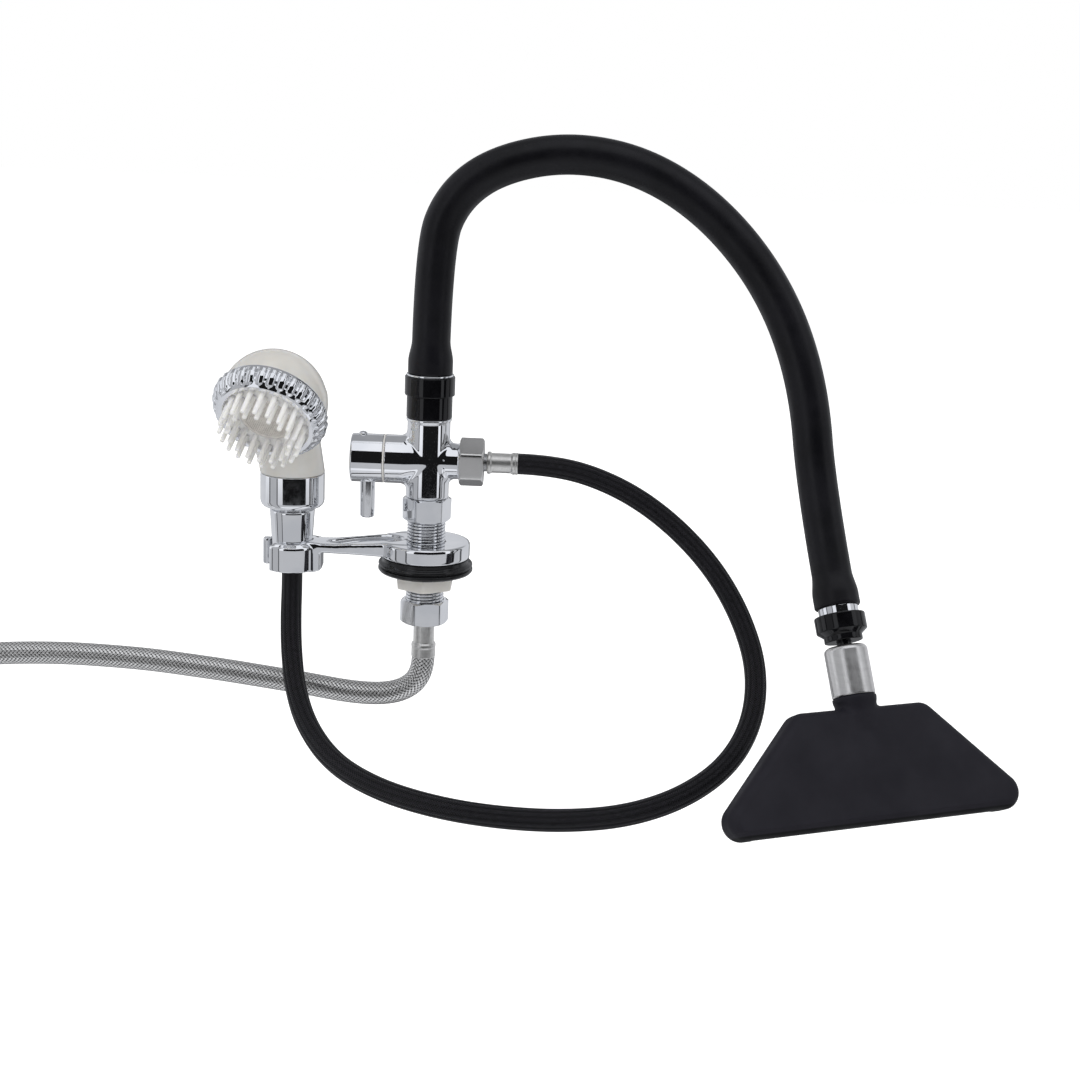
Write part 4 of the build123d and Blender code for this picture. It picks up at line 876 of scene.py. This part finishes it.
def nozzle_joint():
    turned("bright_end_band", [
        (4.0, -14.0), (6.0, -14.0), (6.0, 0.0), (10.2, 0.0, 0.3), (10.2, 4.2, 0.3), (6.0, 4.2),
        (6.0, 7.6), (4.0, 7.6),
    ], NOZZLE, chrome, ["arm_end_band"])
    turned("stepped_collar", [
        (6.1, 4.22), (13.05, 4.22, 0.6), (13.05, 12.5, 0.7), (9.85, 15.0, 0.5), (9.85, 18.0, 0.6),
        (4.05, 18.0, 0.3), (4.05, 10.0), (6.1, 10.0),
    ], NOZZLE, gloss_black, ["nozzle_collar"], columns=200)
    ball = np.radians(np.linspace(-54, 72, 22))
    neck = [(2.0, 7.8), (5.9, 7.8, 0.2), (5.9, 9.8, 0.2), (3.85, 9.8)]
    ball_skin = [(6.5 * math.cos(a), BALL_STATION + 6.5 * math.sin(a)) for a in ball]
    turned("ball_stud_turning", neck + ball_skin + [(2.0, ball_skin[-1][1])], NOZZLE, gloss_black,
           ["ball_stud"])
    bowl = np.radians(np.linspace(31, -62, 12))
    bowl_skin = [(6.7 * math.cos(a), BALL_STATION + 6.7 * math.sin(a)) for a in bowl]
    turned("brushed_cap_shell", [
        (5.6, CAP_TOP + 0.1, 0.4), (CAP_R, CAP_TOP, 4.2), (CAP_R, CAP_FOOT - 0.6, 0.25),
        (CAP_R - 0.25, CAP_FOOT, 0.25), (8.0, CAP_FOOT, 0.2), (8.0, 30.0),
    ] + bowl_skin, NOZZLE, stainless, ["nozzle_cap"], columns=200)


CAP_R = 11.05
CAP_TOP = 20.5                    # from the arm's end along the nozzle
CAP_FOOT = 46.4
swivel_collars()
nozzle_joint()


# ---------------------------------------------------------------- fan nozzle
FAN_TOP_HALF = 37.5
FAN_FOOT_HALF = 97.0
FAN_THICK = 16.0
FAN_CORNER = 9.4
FAN_EDGE = 5.0
FAN_WALL = 3.0
MOUTH_HALF = 70.0
NOSE_END = 62.5


def fan_outline(u, v):
    """Distance to the fan's trapezoid with rounded corners, u across and v down from its middle."""
    half = FAN_HEIGHT / 2 - FAN_CORNER
    grow = (FAN_FOOT_HALF - FAN_TOP_HALF) / FAN_HEIGHT
    inset = FAN_CORNER * math.sqrt(1 + grow ** 2)
    top = FAN_TOP_HALF + grow * FAN_CORNER - inset
    foot = FAN_FOOT_HALF - grow * FAN_CORNER - inset
    u = np.abs(u)
    end_u = u - np.minimum(u, np.where(v < 0, top, foot))
    end_v = np.abs(v) - half
    slant = (foot - top) ** 2 + 4 * half ** 2
    share = np.clip(((foot - u) * (foot - top) + (half - v) * 2 * half) / slant, 0, 1)
    side_u = u - foot + (foot - top) * share
    side_v = v - half + 2 * half * share
    sign = np.where((side_u < 0) & (end_v < 0), -1.0, 1.0)
    return sign * np.sqrt(np.minimum(end_u ** 2 + end_v ** 2, side_u ** 2 + side_v ** 2)) - FAN_CORNER


def fan_field(x, y, z):
    """Rounded slab with a nose that runs from the cap into both faces, hollow, with a slot at its foot."""
    middle = FAN_TOP + FAN_HEIGHT / 2
    flat = fan_outline(x, z - middle)
    edge_flat, edge_face = flat + FAN_EDGE, np.abs(y) - FAN_THICK / 2 + FAN_EDGE
    slab = np.minimum(np.maximum(edge_flat, edge_face), 0) - FAN_EDGE
    slab = slab + np.hypot(np.maximum(edge_flat, 0), np.maximum(edge_face, 0))
    out = np.hypot(x, y)
    nose = np.interp(z, [CAP_FOOT, 47.2, 49.4, 54.0, NOSE_END], [10.8, 11.3, 11.1, 9.6, 7.2])
    bulge = bar(out, z, nose, CAP_FOOT, NOSE_END, 1.2)
    plug = bar(out, z, 7.9, 35.3, 47.0, 0.3)
    body = np.minimum(soft_union(slab, bulge, 3.2), plug)
    cavity = np.maximum(flat + FAN_WALL, np.abs(y) - FAN_THICK / 2 + FAN_WALL)
    mouth = np.maximum(np.maximum(np.abs(x) - MOUTH_HALF, np.abs(y) - 3.5), FAN_FOOT - 6.0 - z)
    bore = np.maximum(out - 3.6, z - middle)
    return soft_overlap(body, -np.minimum(np.minimum(cavity, mouth), bore), 0.6)


def fan():
    cast("fan_moulding", fan_field, (-99, -13, 34), (99, 13, 114), 0.95, fan_rubber, ["fan_nozzle"],
         place=NOZZLE, sharp=None)


fan()


# ---------------------------------------------------------------- hand spray
CUP_R = 17.5
CUP_LOW = 33.6
CUP_TOP = 52.5
HEAD_R = 28.0
RING_FROM = 2.0
RING_TO = 14.4
RING_LIP = 23.1
FACE_TO = 12.4
BUMPS = 32
PLATE_R = 14.6


def cup_and_cone():
    turned("handle_cup", [
        (4.0, 17.0), (9.4, 17.0, 0.4), (9.4, CUP_LOW, 0.6), (CUP_R, CUP_LOW, 5.2), (CUP_R, CUP_TOP, 0.5),
        (15.3, CUP_TOP, 0.3), (15.3, 38.6), (4.0, 38.6),
    ], HANDLE, chrome, ["handset_cup"], columns=224)
    foot, top = span("cone_nut")

    def cone(z):
        return 12.3 - 0.063 * (top - z)

    turned("cone_hexagon", [
        (6.4, foot), (cone(foot), foot, 0.7), (cone(top), top, 1.1), (9.6, top, 0.3), (9.6, 15.0),
        (4.4, 14.3), (4.4, 12.0), (6.4, 12.0),
    ], HANDLE, chrome, ["cone_nut"], columns=224)


def shell_field(x, y, z):
    """Dome and leaning handle: at height z a circle of radius r(z), long in Y, round the leaning axis."""
    centre = HEAD.origin
    share = np.clip((z - CUP_TOP) / (centre[2] - CUP_TOP), 0, 1)
    axis_x = HANDLE.origin[0] + (centre[0] - HANDLE.origin[0]) * share
    axis_y = centre[1] * share ** 1.55
    radius = 17.6 + 4.0 * share ** 2
    handle = np.hypot(x - axis_x, (y - axis_y) / (1 + 0.22 * share)) - radius
    handle = soft_overlap(handle, np.maximum(CUP_TOP + 0.15 - z, z - centre[2]), 0.8)
    dome = np.sqrt((x - centre[0]) ** 2 + (y - centre[1]) ** 2 + (z - centre[2]) ** 2) - HEAD_R
    return soft_union(handle, dome, 9.0)


def milky_field(x, y, z):
    """Shell between the outer skin and the same skin 2.6 mm in, with its plug, open at the spray face."""
    wall = 2.6
    outer = shell_field(x, y, z)
    round_axis = np.hypot(x - HANDLE.origin[0], y)
    plug = bar(round_axis, z, 15.2, 39.6, CUP_TOP + 2, 0.4)
    hollow = np.maximum(round_axis - 12.2, z - CUP_TOP - 3)
    body = np.maximum(np.minimum(outer, plug), -np.minimum(outer + wall, hollow))
    u, v, w = np.moveaxis(HEAD.local(np.stack([x, y, z], axis=-1)), -1, 0)
    out = np.hypot(u, v)
    before_ring = np.maximum(HEAD_R - 0.6 - out, RING_FROM - 0.8 - w)
    before_ring = np.maximum(before_ring, out - 31.6)
    before_face = np.maximum(6.0 - w, out - 29.0)
    return soft_overlap(body, -np.minimum(before_ring, before_face), 0.4)


def knurls(r, z, t):
    """Rim of long rounded bumps: the radius grows by 1.5 * w - 0.4, w = sqrt(1 - (f / 0.40)^2).

    f is the place from -0.5 to 0.5 between two gaps. The bumps rise over 0.8 mm behind, and in front
    each ends in a round nose: its length shrinks by 1.8 mm beside its crest."""
    f = (BUMPS * t / (2 * math.pi)) % 1.0 - 0.5
    wave = np.sqrt(np.clip(1 - (f / 0.40) ** 2, 0, 1))
    ends = np.minimum((z - RING_FROM - 1.6) / 0.8, (RING_TO - 0.7 - 1.8 * (1 - wave) - z) / 0.8)
    bumpy = (r > 25.0) & (z < RING_TO - 0.4)
    return np.where(bumpy, r + (1.5 * wave - 0.4) * ease(ends), r), z


def brush_pins():
    """Face disc and its pins: every pin is the same turned profile set at its own place on a circle."""
    profile = rounded([(0, FACE_TO - 0.6), (1.7, FACE_TO - 0.6), (1.6, FACE_TO + 0.2), (1.36, FACE_TO + 2.0),
                       (1.2, FACE_TO + 15.0, 1.1), (0, FACE_TO + 15.0)], 4)[1:-1]
    profile = np.concatenate([[[0, profile[0, 1]]], profile, [[0, profile[-1, 1]]]])
    columns = 14
    ring = spin(profile[:, :1], profile[:, 1:], turn_angles(columns))
    spots = []
    for radius, count in ((20.8, 20), (16.7, 16)):
        spots.append(spin(radius, 0.0, 2 * math.pi * (np.arange(count) + 0.5) / count))
    spots = np.concatenate(spots)
    points = (ring[None] + spots[:, None, None]).reshape(-1, 3)
    one = grid_faces(len(profile), columns, wrap_rows=False)
    faces = (one[None] + (np.arange(len(spots)) * len(profile) * columns)[:, None, None]).reshape(-1, 4)
    disc = rounded([(13.4, 7.0), (27.6, 7.0, 0.2), (27.6, 8.0, 0.2), (24.9, 8.0), (24.9, FACE_TO, 0.3),
                    (PLATE_R + 0.1, FACE_TO, 0.2), (PLATE_R + 0.1, 10.8), (13.4, 10.8)])
    face, face_quads = spin_path(disc, 128)
    faces = np.concatenate([faces, face_quads + len(points)])
    add_piece("soft_pin_face", HEAD.put(np.concatenate([points, face])), faces, soft_white,
              stands_for=["brush_face"], sharp=50.0)


def spray_mesh():
    """Perforated plate: six sided cells on a honeycomb, each with a six sided hole, and a rim round them."""
    pitch, thick, dome = 1.15, 0.8, 0.9
    reach = PLATE_R - 1.1
    rows = np.arange(-16, 17)
    j, i = np.meshgrid(rows, rows, indexing="ij")
    centres = np.stack([(i + 0.5 * (j % 2)) * pitch, j * pitch * math.sqrt(3) / 2], axis=-1).reshape(-1, 2)
    centres = centres[np.hypot(*centres.T) < reach - 0.5]
    angle = np.radians(30 + 60 * np.arange(6))
    outer = np.stack([np.cos(angle), np.sin(angle)], axis=1) * pitch / math.sqrt(3)
    inner = outer * 0.52
    flat = np.stack([outer, inner, inner, outer])[None] + centres[:, None, None]
    height = np.array([0, 0, -thick, -thick])[None, :, None] + FACE_TO
    level = height + dome * (1 - (flat ** 2).sum(-1) / PLATE_R ** 2)
    points = np.concatenate([flat, level[..., None]], axis=-1).reshape(-1, 3)
    one = grid_faces(4, 6)[:18]       # without the outer wall, where cells share it
    faces = (one[None] + (np.arange(len(centres)) * 24)[:, None, None]).reshape(-1, 4)
    rim = rounded([(reach - 0.9, FACE_TO - thick), (PLATE_R, FACE_TO - thick), (PLATE_R, FACE_TO, 0.3),
                   (reach - 0.9, FACE_TO + 0.25, 0.2)])
    band, band_quads = spin_path(rim, 96)
    faces = np.concatenate([faces, band_quads + len(points)])
    add_piece("perforated_plate", HEAD.put(np.concatenate([points, band])), faces, mesh_metal,
              stands_for=["spray_plate"], sharp=50.0)


def hand_spray():
    cup_and_cone()
    cast("milky_shell", milky_field, (-110, -68, 38.5), (-45, 22, 128), 0.75, milky, ["handset_body"],
         sharp=50.0)
    levels = np.linspace(RING_FROM + 0.4, RING_TO - 0.7, 40)
    side = np.interp(levels, [RING_FROM, 3.2, 7.4, 9.6, 12.0, RING_TO], [29.5, 29.8, 29.8, 29.1, 27.8, 26.0])
    turned("knurled_bezel", [(28.2, RING_FROM), (29.4, RING_FROM, 0.2)] + list(zip(side, levels)) + [
        (25.6, RING_TO, 0.4), (RING_LIP, RING_TO, 0.5), (RING_LIP, FACE_TO + 0.2), (25.1, FACE_TO + 0.2),
        (25.1, 8.2), (28.2, 8.2),
    ], HEAD, chrome, ["knurled_ring"], shape=knurls, columns=768, sharp=60.0)
    brush_pins()
    spray_mesh()


hand_spray()


# ---------------------------------------------------------------- arm and hoses along their routes
def route_line(points):
    """Points in millimetres along a smooth line whose control points are given in metres."""
    curve = bpy.data.curves.new("route", "CURVE")
    curve.dimensions = "3D"
    curve.resolution_u = 24
    spline = curve.splines.new("NURBS")
    spline.points.add(len(points) - 1)
    for held, point in zip(spline.points, points):
        held.co = (*point, 1.0)
    spline.order_u = 3
    spline.use_endpoint_u = True
    holder = bpy.data.objects.new("route", curve)
    bpy.context.collection.objects.link(holder)
    mesh = bpy.data.meshes.new_from_object(holder)
    line = np.array([vertex.co for vertex in mesh.vertices])
    bpy.data.objects.remove(holder)
    bpy.data.curves.remove(curve)
    bpy.data.meshes.remove(mesh)
    return line / MM


def run_along(line):
    """Length along a line up to each of its points."""
    return np.concatenate([[0], np.cumsum(np.linalg.norm(np.diff(line, axis=0), axis=1))])


def even_line(line, rows):
    """The line's length, and points, directions and sides at even steps of its length.

    A side is carried along by taking off what points ahead: s' = s - (s . d) d, then its length made 1."""
    run = run_along(line)
    stations = np.linspace(0, run[-1], rows)
    points = np.stack([np.interp(stations, run, line[:, k]) for k in range(3)], axis=1)
    ahead = np.gradient(points, axis=0)
    ahead /= np.linalg.norm(ahead, axis=1, keepdims=True)
    side = Y - Y @ ahead[0] * ahead[0]
    sides = np.empty_like(points)
    for row in range(rows):
        side = side - side @ ahead[row] * ahead[row]
        side = side / np.linalg.norm(side)
        sides[row] = side
    return stations, points, ahead, sides


def pipe(name, line, rows, columns, radius, material, pick=1.0, **kept):
    """Tube along a line: point = p(s) + r(s, t) (cos t side + sin t other), closed by a disc at each end.

    Its map counts turns round it and picks along it."""
    stations, points, ahead, sides = even_line(line, rows)
    other = np.cross(ahead, sides)
    t = np.arange(columns) * 2 * math.pi / columns
    r = np.broadcast_to(radius(stations[:, None], t[None, :]), (rows, columns))
    skin = points[:, None] + r[..., None] * (
        np.cos(t)[None, :, None] * sides[:, None] + np.sin(t)[None, :, None] * other[:, None]
    )
    skin = np.concatenate([
        np.broadcast_to(points[:1, None], (1, columns, 3)), skin,
        np.broadcast_to(points[-1:, None], (1, columns, 3)),
    ])
    faces = grid_faces(rows + 2, columns, wrap_rows=False)
    v = np.concatenate([stations[:1], stations, stations[-1:]]) / pick
    row, column = np.divmod(np.arange((rows + 1) * columns), columns)
    u = np.stack([column, column + 1, column + 1, column], axis=1) / columns
    w = np.stack([v[row], v[row], v[row + 1], v[row + 1]], axis=1)
    piece = add_piece(
        name, skin.reshape(-1, 3), faces, material, uv=np.stack([u, w], axis=-1), sharp=60.0, **kept
    )
    return piece, points


def cut_line(line, start, stop):
    """Stretch of a line between two shares of its length."""
    run = run_along(line)
    run /= run[-1]
    stations = np.concatenate([[start], run[(run > start) & (run < stop)], [stop]])
    return np.stack([np.interp(stations, run, line[:, k]) for k in range(3)], axis=1)


ARM_ROUTE = [
    (0, 0, 0.109), (0, 0, 0.177), (0.0095, 0, 0.204), (0.0325, 0, 0.222), (0.071, -0.0005, 0.2305),
    (0.112, -0.002, 0.2235), (0.150, -0.009, 0.200), (0.181, -0.021, 0.163), (0.199, -0.0345, 0.118),
    (0.2061, -0.0446, 0.0631), (0.2172, -0.073, 0.0093),
]
HOSE_END = 0.001                  # where the hose ends in its ferrule
ARM_MEET = 0.42                   # share of the arm's length where its two sleeves meet
SLEEVE_R = 10.35
HANDSET_ROUTE = [
    (0.0492, 0, 0.0623), (0.064, 0, 0.0623), (0.088, -0.0006, 0.0583), (0.114, -0.0035, 0.0478),
    (0.138, -0.0085, 0.0315), (0.159, -0.016, 0.011), (0.174, -0.028, -0.012), (0.182, -0.045, -0.035),
    (0.179, -0.067, -0.0565), (0.165, -0.090, -0.073), (0.142, -0.107, -0.0845), (0.113, -0.118, -0.0915),
    (0.080, -0.121, -0.0945), (0.046, -0.117, -0.0955), (0.013, -0.1065, -0.0955),
    (-0.017, -0.091, -0.0935), (-0.041, -0.072, -0.088), (-0.058, -0.0505, -0.077),
    (-0.0675, -0.031, -0.0615), (-0.072, -0.0155, -0.0435), (-0.0738, -0.005, -0.0265),
    (-0.074, 0, -0.012), (-0.074, 0, HOSE_END),
]
SUPPLY_ROUTE = [
    (0, 0, -0.0498), (0, 0, -0.0575), (-0.0055, 0.0004, -0.0675), (-0.018, 0.0012, -0.0735),
    (-0.038, 0.0024, -0.0743), (-0.068, 0.0042, -0.0704), (-0.115, 0.007, -0.0652), (-0.166, 0.010, -0.0612),
    (-0.218, 0.013, -0.0612), (-0.268, 0.016, -0.0665), (-0.312, 0.0185, -0.079), (-0.345, 0.0205, -0.103),
    (-0.364, 0.0215, -0.134), (-0.370, 0.022, -0.168), (-0.370, 0.022, -0.196),
]


def bend(piece, nodes):
    """A tube that stands for frame nodes: hides them and bakes the tube's placing into its mesh."""
    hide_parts(*nodes)
    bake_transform(piece)


def arm():
    line = route_line(ARM_ROUTE)
    whole = run_along(line)[-1]

    def flared(from_root):
        """Sleeve radius: straight for 6.5 from each end, then a smooth step down to 10.35 at 18."""
        def radius(s, t):
            near = s if from_root else whole * (1 - ARM_MEET) - s
            full = 12.1 if from_root else 11.8
            edge = np.clip(near / 0.6, 0, 1)
            rim = 0.6 * (1 - np.sqrt(1 - (1 - edge) ** 2))
            return SLEEVE_R + (full - SLEEVE_R) * ease((18.0 - near) / 11.5) - rim + 0 * t
        return radius

    root = cut_line(line, LIP_PROUD / whole, ARM_MEET)
    lower, _ = pipe("arm_sleeve_lower", root, 260, 72, flared(True), arm_rubber)
    bend(lower, ["arm_sleeve_root"])
    tip = cut_line(line, ARM_MEET, 1)
    upper, _ = pipe("arm_sleeve_upper", tip, 340, 72, flared(False), arm_rubber)
    along = np.array(ARM_ROUTE[-2]) - np.array(ARM_ROUTE[-3])
    along *= 0.018 / np.linalg.norm(along)
    bend(upper, ["arm_sleeve_arch", "arm_sleeve_tip"])


def hoses():
    line = route_line(HANDSET_ROUTE)

    def black_skin(s, t):
        """Black yarn sleeve: ridges along the hose, |cos| arches that wind slowly and fade at its ends."""
        fade = np.clip(np.minimum(s, s.max() - s) / 30.0, 0, 1)
        arch = np.abs(np.cos(BLACK_RIDGES * t / 2 + s / BLACK_PICK * BLACK_WIND))
        return 5.42 + 0.42 * arch + (1 - fade) * (0.30 - 0.42 * arch) + 0.04 * np.cos(3 * t - s / 23.0)

    hose, points = pipe("handset_hose_braid", line, 700, 130, black_skin, black_braid, pick=BLACK_PICK)
    bend(hose, ["handset_hose"])
    (points * MM).tolist()
    line = route_line(SUPPLY_ROUTE)

    def steel_skin(s, t):
        """Wire braid: a hair's breadth of waver round an even radius."""
        return 6.42 + 0.05 * np.cos(5 * t + s / 31.0) * np.cos(s / 9.0)

    hose, points = pipe(
        "supply_hose_braid", line, 700, 84, steel_skin, steel_braid, pick=STEEL_PICK, body="deck_unit",
        stands_for=["supply_hose"],
    )
    far = [bpy.data.objects["supply_end_ferrule_crimp"], bpy.data.objects["supply_end_hexagon"]]
    far += [frame["nodes"]["supply_end_stem"], frame["nodes"]["supply_end_seal"]]
    (points * MM).tolist()


arm()
hoses()


# ---------------------------------------------------------------- finishes of the frame's own nodes
FINISH_OF_SLOT = {
    "chrome": chrome, "gasket_rubber": seal_rubber, "plated_thread": thread_plate,
    "white_plastic": nut_plastic, "brass": brass, "gooseneck_steel": steel, "nickel": nickel,
    "black_braid": black_braid, "steel_braid": steel_braid, "black_plastic": gloss_black,
    "sleeve_rubber": arm_rubber, "brushed_cap": stainless, "fan_rubber": fan_rubber,
    "milky_plastic": milky, "soft_white": soft_white, "mesh_plate": mesh_metal,
}
FINISH_OF_NODE = {
    "ball_stud": gloss_black, "outlet_stem": steel, "inlet_stem": steel, "supply_end_stem": steel,
    "hose_end_stem": steel,
}


def dress_nodes():
    for name, node in frame["nodes"].items():
        for held in node.material_slots:
            held.material = FINISH_OF_NODE.get(name, FINISH_OF_SLOT[slot_of[name]])


# ---------------------------------------------------------------- floor, world and lamps
def window(value, start, stop, edge):
    """1 between start and stop in degrees, falling to 0 over edge degrees outside them."""
    first, last, soft = math.radians(start), math.radians(stop), math.radians(edge)
    return value.between(first - soft, first) * value.between(last, last + soft, 1.0, 0.0)


def surroundings():
    """White room. Metal mirrors a dark patch in front, bright bands round it and greyer walls behind."""
    world = bpy.data.worlds.new("Studio")
    bpy.context.scene.world = world
    tree = Tree(world)
    x, y, z = tree.parts(tree.output(tree.node("ShaderNodeTexCoord", {}), "Generated"))
    turn = tree.node("ShaderNodeMath", {"operation": "ARCTAN2"}, x, -y)
    rise = tree.node("ShaderNodeMath", {"operation": "ARCSINE"}, z)
    wide = turn.absolute()
    back = wide.between(math.radians(97), math.radians(106))
    overhead = rise.between(math.radians(80), math.radians(85))
    sides = (1 - back) * window(rise, -41, -14, 2)
    grey = back * (1 - overhead) * (rise.between(math.radians(22), math.radians(34)) * 0.34 + 0.30)
    grey = grey.most(sides * 0.44)
    grey = grey.most(window(rise, -90, -54, 2) * 0.26)
    grey = grey.most(window(turn, -81, -47, 1.5) * window(rise, -60, 60, 3) * 0.52)
    grey = grey.most(window(turn, 79, 104, 1.5) * window(rise, -60, 60, 5) * 0.40)
    grey = grey.most(wide.between(math.radians(150), math.radians(162)) * window(rise, -90, 9, 6) * 0.78)
    dark = window(turn, -27, 56, 1.2) * window(rise, -13.65, 42, 0.2)
    dark = dark.most(window(turn, 61, 73, 1.5) * window(rise, -34, -17, 1.5))
    dark = dark.most(window(turn, 71, 79, 1.5) * window(rise, -17, 20, 0.6))
    dark = dark.most(window(turn, -83, -79, 1.2) * 0.85).most(window(turn, -50, -47, 1.0) * 0.85)
    dark = dark.most(window(turn, 105, 111, 1.2) * 0.85)
    mirrored = (1 - grey) * (1 - dark * 0.99)
    path = tree.node("ShaderNodeLightPath", {})
    glossy = tree.output(path, "Is Glossy Ray")
    plain = path.most(tree.output(path, "Is Transmission Ray"))
    strength = mirrored * glossy + plain * (1 - glossy) + (1 - glossy) * (1 - plain) * AMBIENT
    tint = tree.mix(glossy, rgb(1, 1, 1), rgb(0.93, 0.95, 1.0))
    shade = tree.node("ShaderNodeBackground", {}, tint, strength)
    tree.node("ShaderNodeOutputWorld", {}, shade)


def lamp(name, at, towards, size, power):
    """Soft square lamp that lights but isn't mirrored."""
    data = bpy.data.lights.new(name, "AREA")
    data.shape = "SQUARE"
    data.size = size
    data.energy = power
    made = bpy.data.objects.new(name, data)
    bpy.context.collection.objects.link(made)
    back = np.array(at, float) - np.array(towards, float)
    frame_of = Place((0, 0, 0), back, X)
    placed = np.eye(4)
    placed[:3, :3] = np.stack([frame_of.x, frame_of.y, frame_of.z], axis=1)
    placed[:3, 3] = at
    made.matrix_world = Matrix(placed.tolist())
    made.visible_glossy = False


def floor_plane(level):
    """White floor under the lowest piece. The camera sees half its light as its own glow."""
    half = 8.0
    mesh = bpy.data.meshes.new("studio_floor")
    mesh.from_pydata([(-half, -half, level), (half, -half, level), (half, half, level), (-half, half, level)],
                     [], [(0, 1, 2, 3)])
    plane = bpy.data.objects.new("studio_floor", mesh)
    bpy.context.collection.objects.link(plane)
    material = bpy.data.materials.new("studio_white")
    tree = Tree(material)
    seen = tree.node("ShaderNodeLightPath", {})
    diffuse = tree.node("ShaderNodeBsdfDiffuse", {}, rgb(0.80, 0.80, 0.80))
    glow = tree.node("ShaderNodeEmission", {}, rgb(1, 1, 1), seen * 0.60)
    both = tree.node("ShaderNodeAddShader", {}, diffuse, glow)
    tree.node("ShaderNodeOutputMaterial", {}, both)
    mesh.materials.append(material)
    plane.visible_glossy = False


AMBIENT = 0.56                    # diffuse light from every side
dress_nodes()
add_camera()
surroundings()
lamp("key_lamp", (-1.1, -1.5, 1.7), (0, 0, 0), 1.6, 22.0)
lamp("fill_lamp", (1.7, -1.0, 0.9), (0, 0, 0), 1.6, 10.0)
lamp("rim_lamp", (0.2, 1.6, 1.2), (0, 0, 0), 1.4, 9.0)
floor_plane(low("supply_end_nut")[2] * MM - 0.0012)
bpy.context.scene.view_settings.view_transform = "Standard"
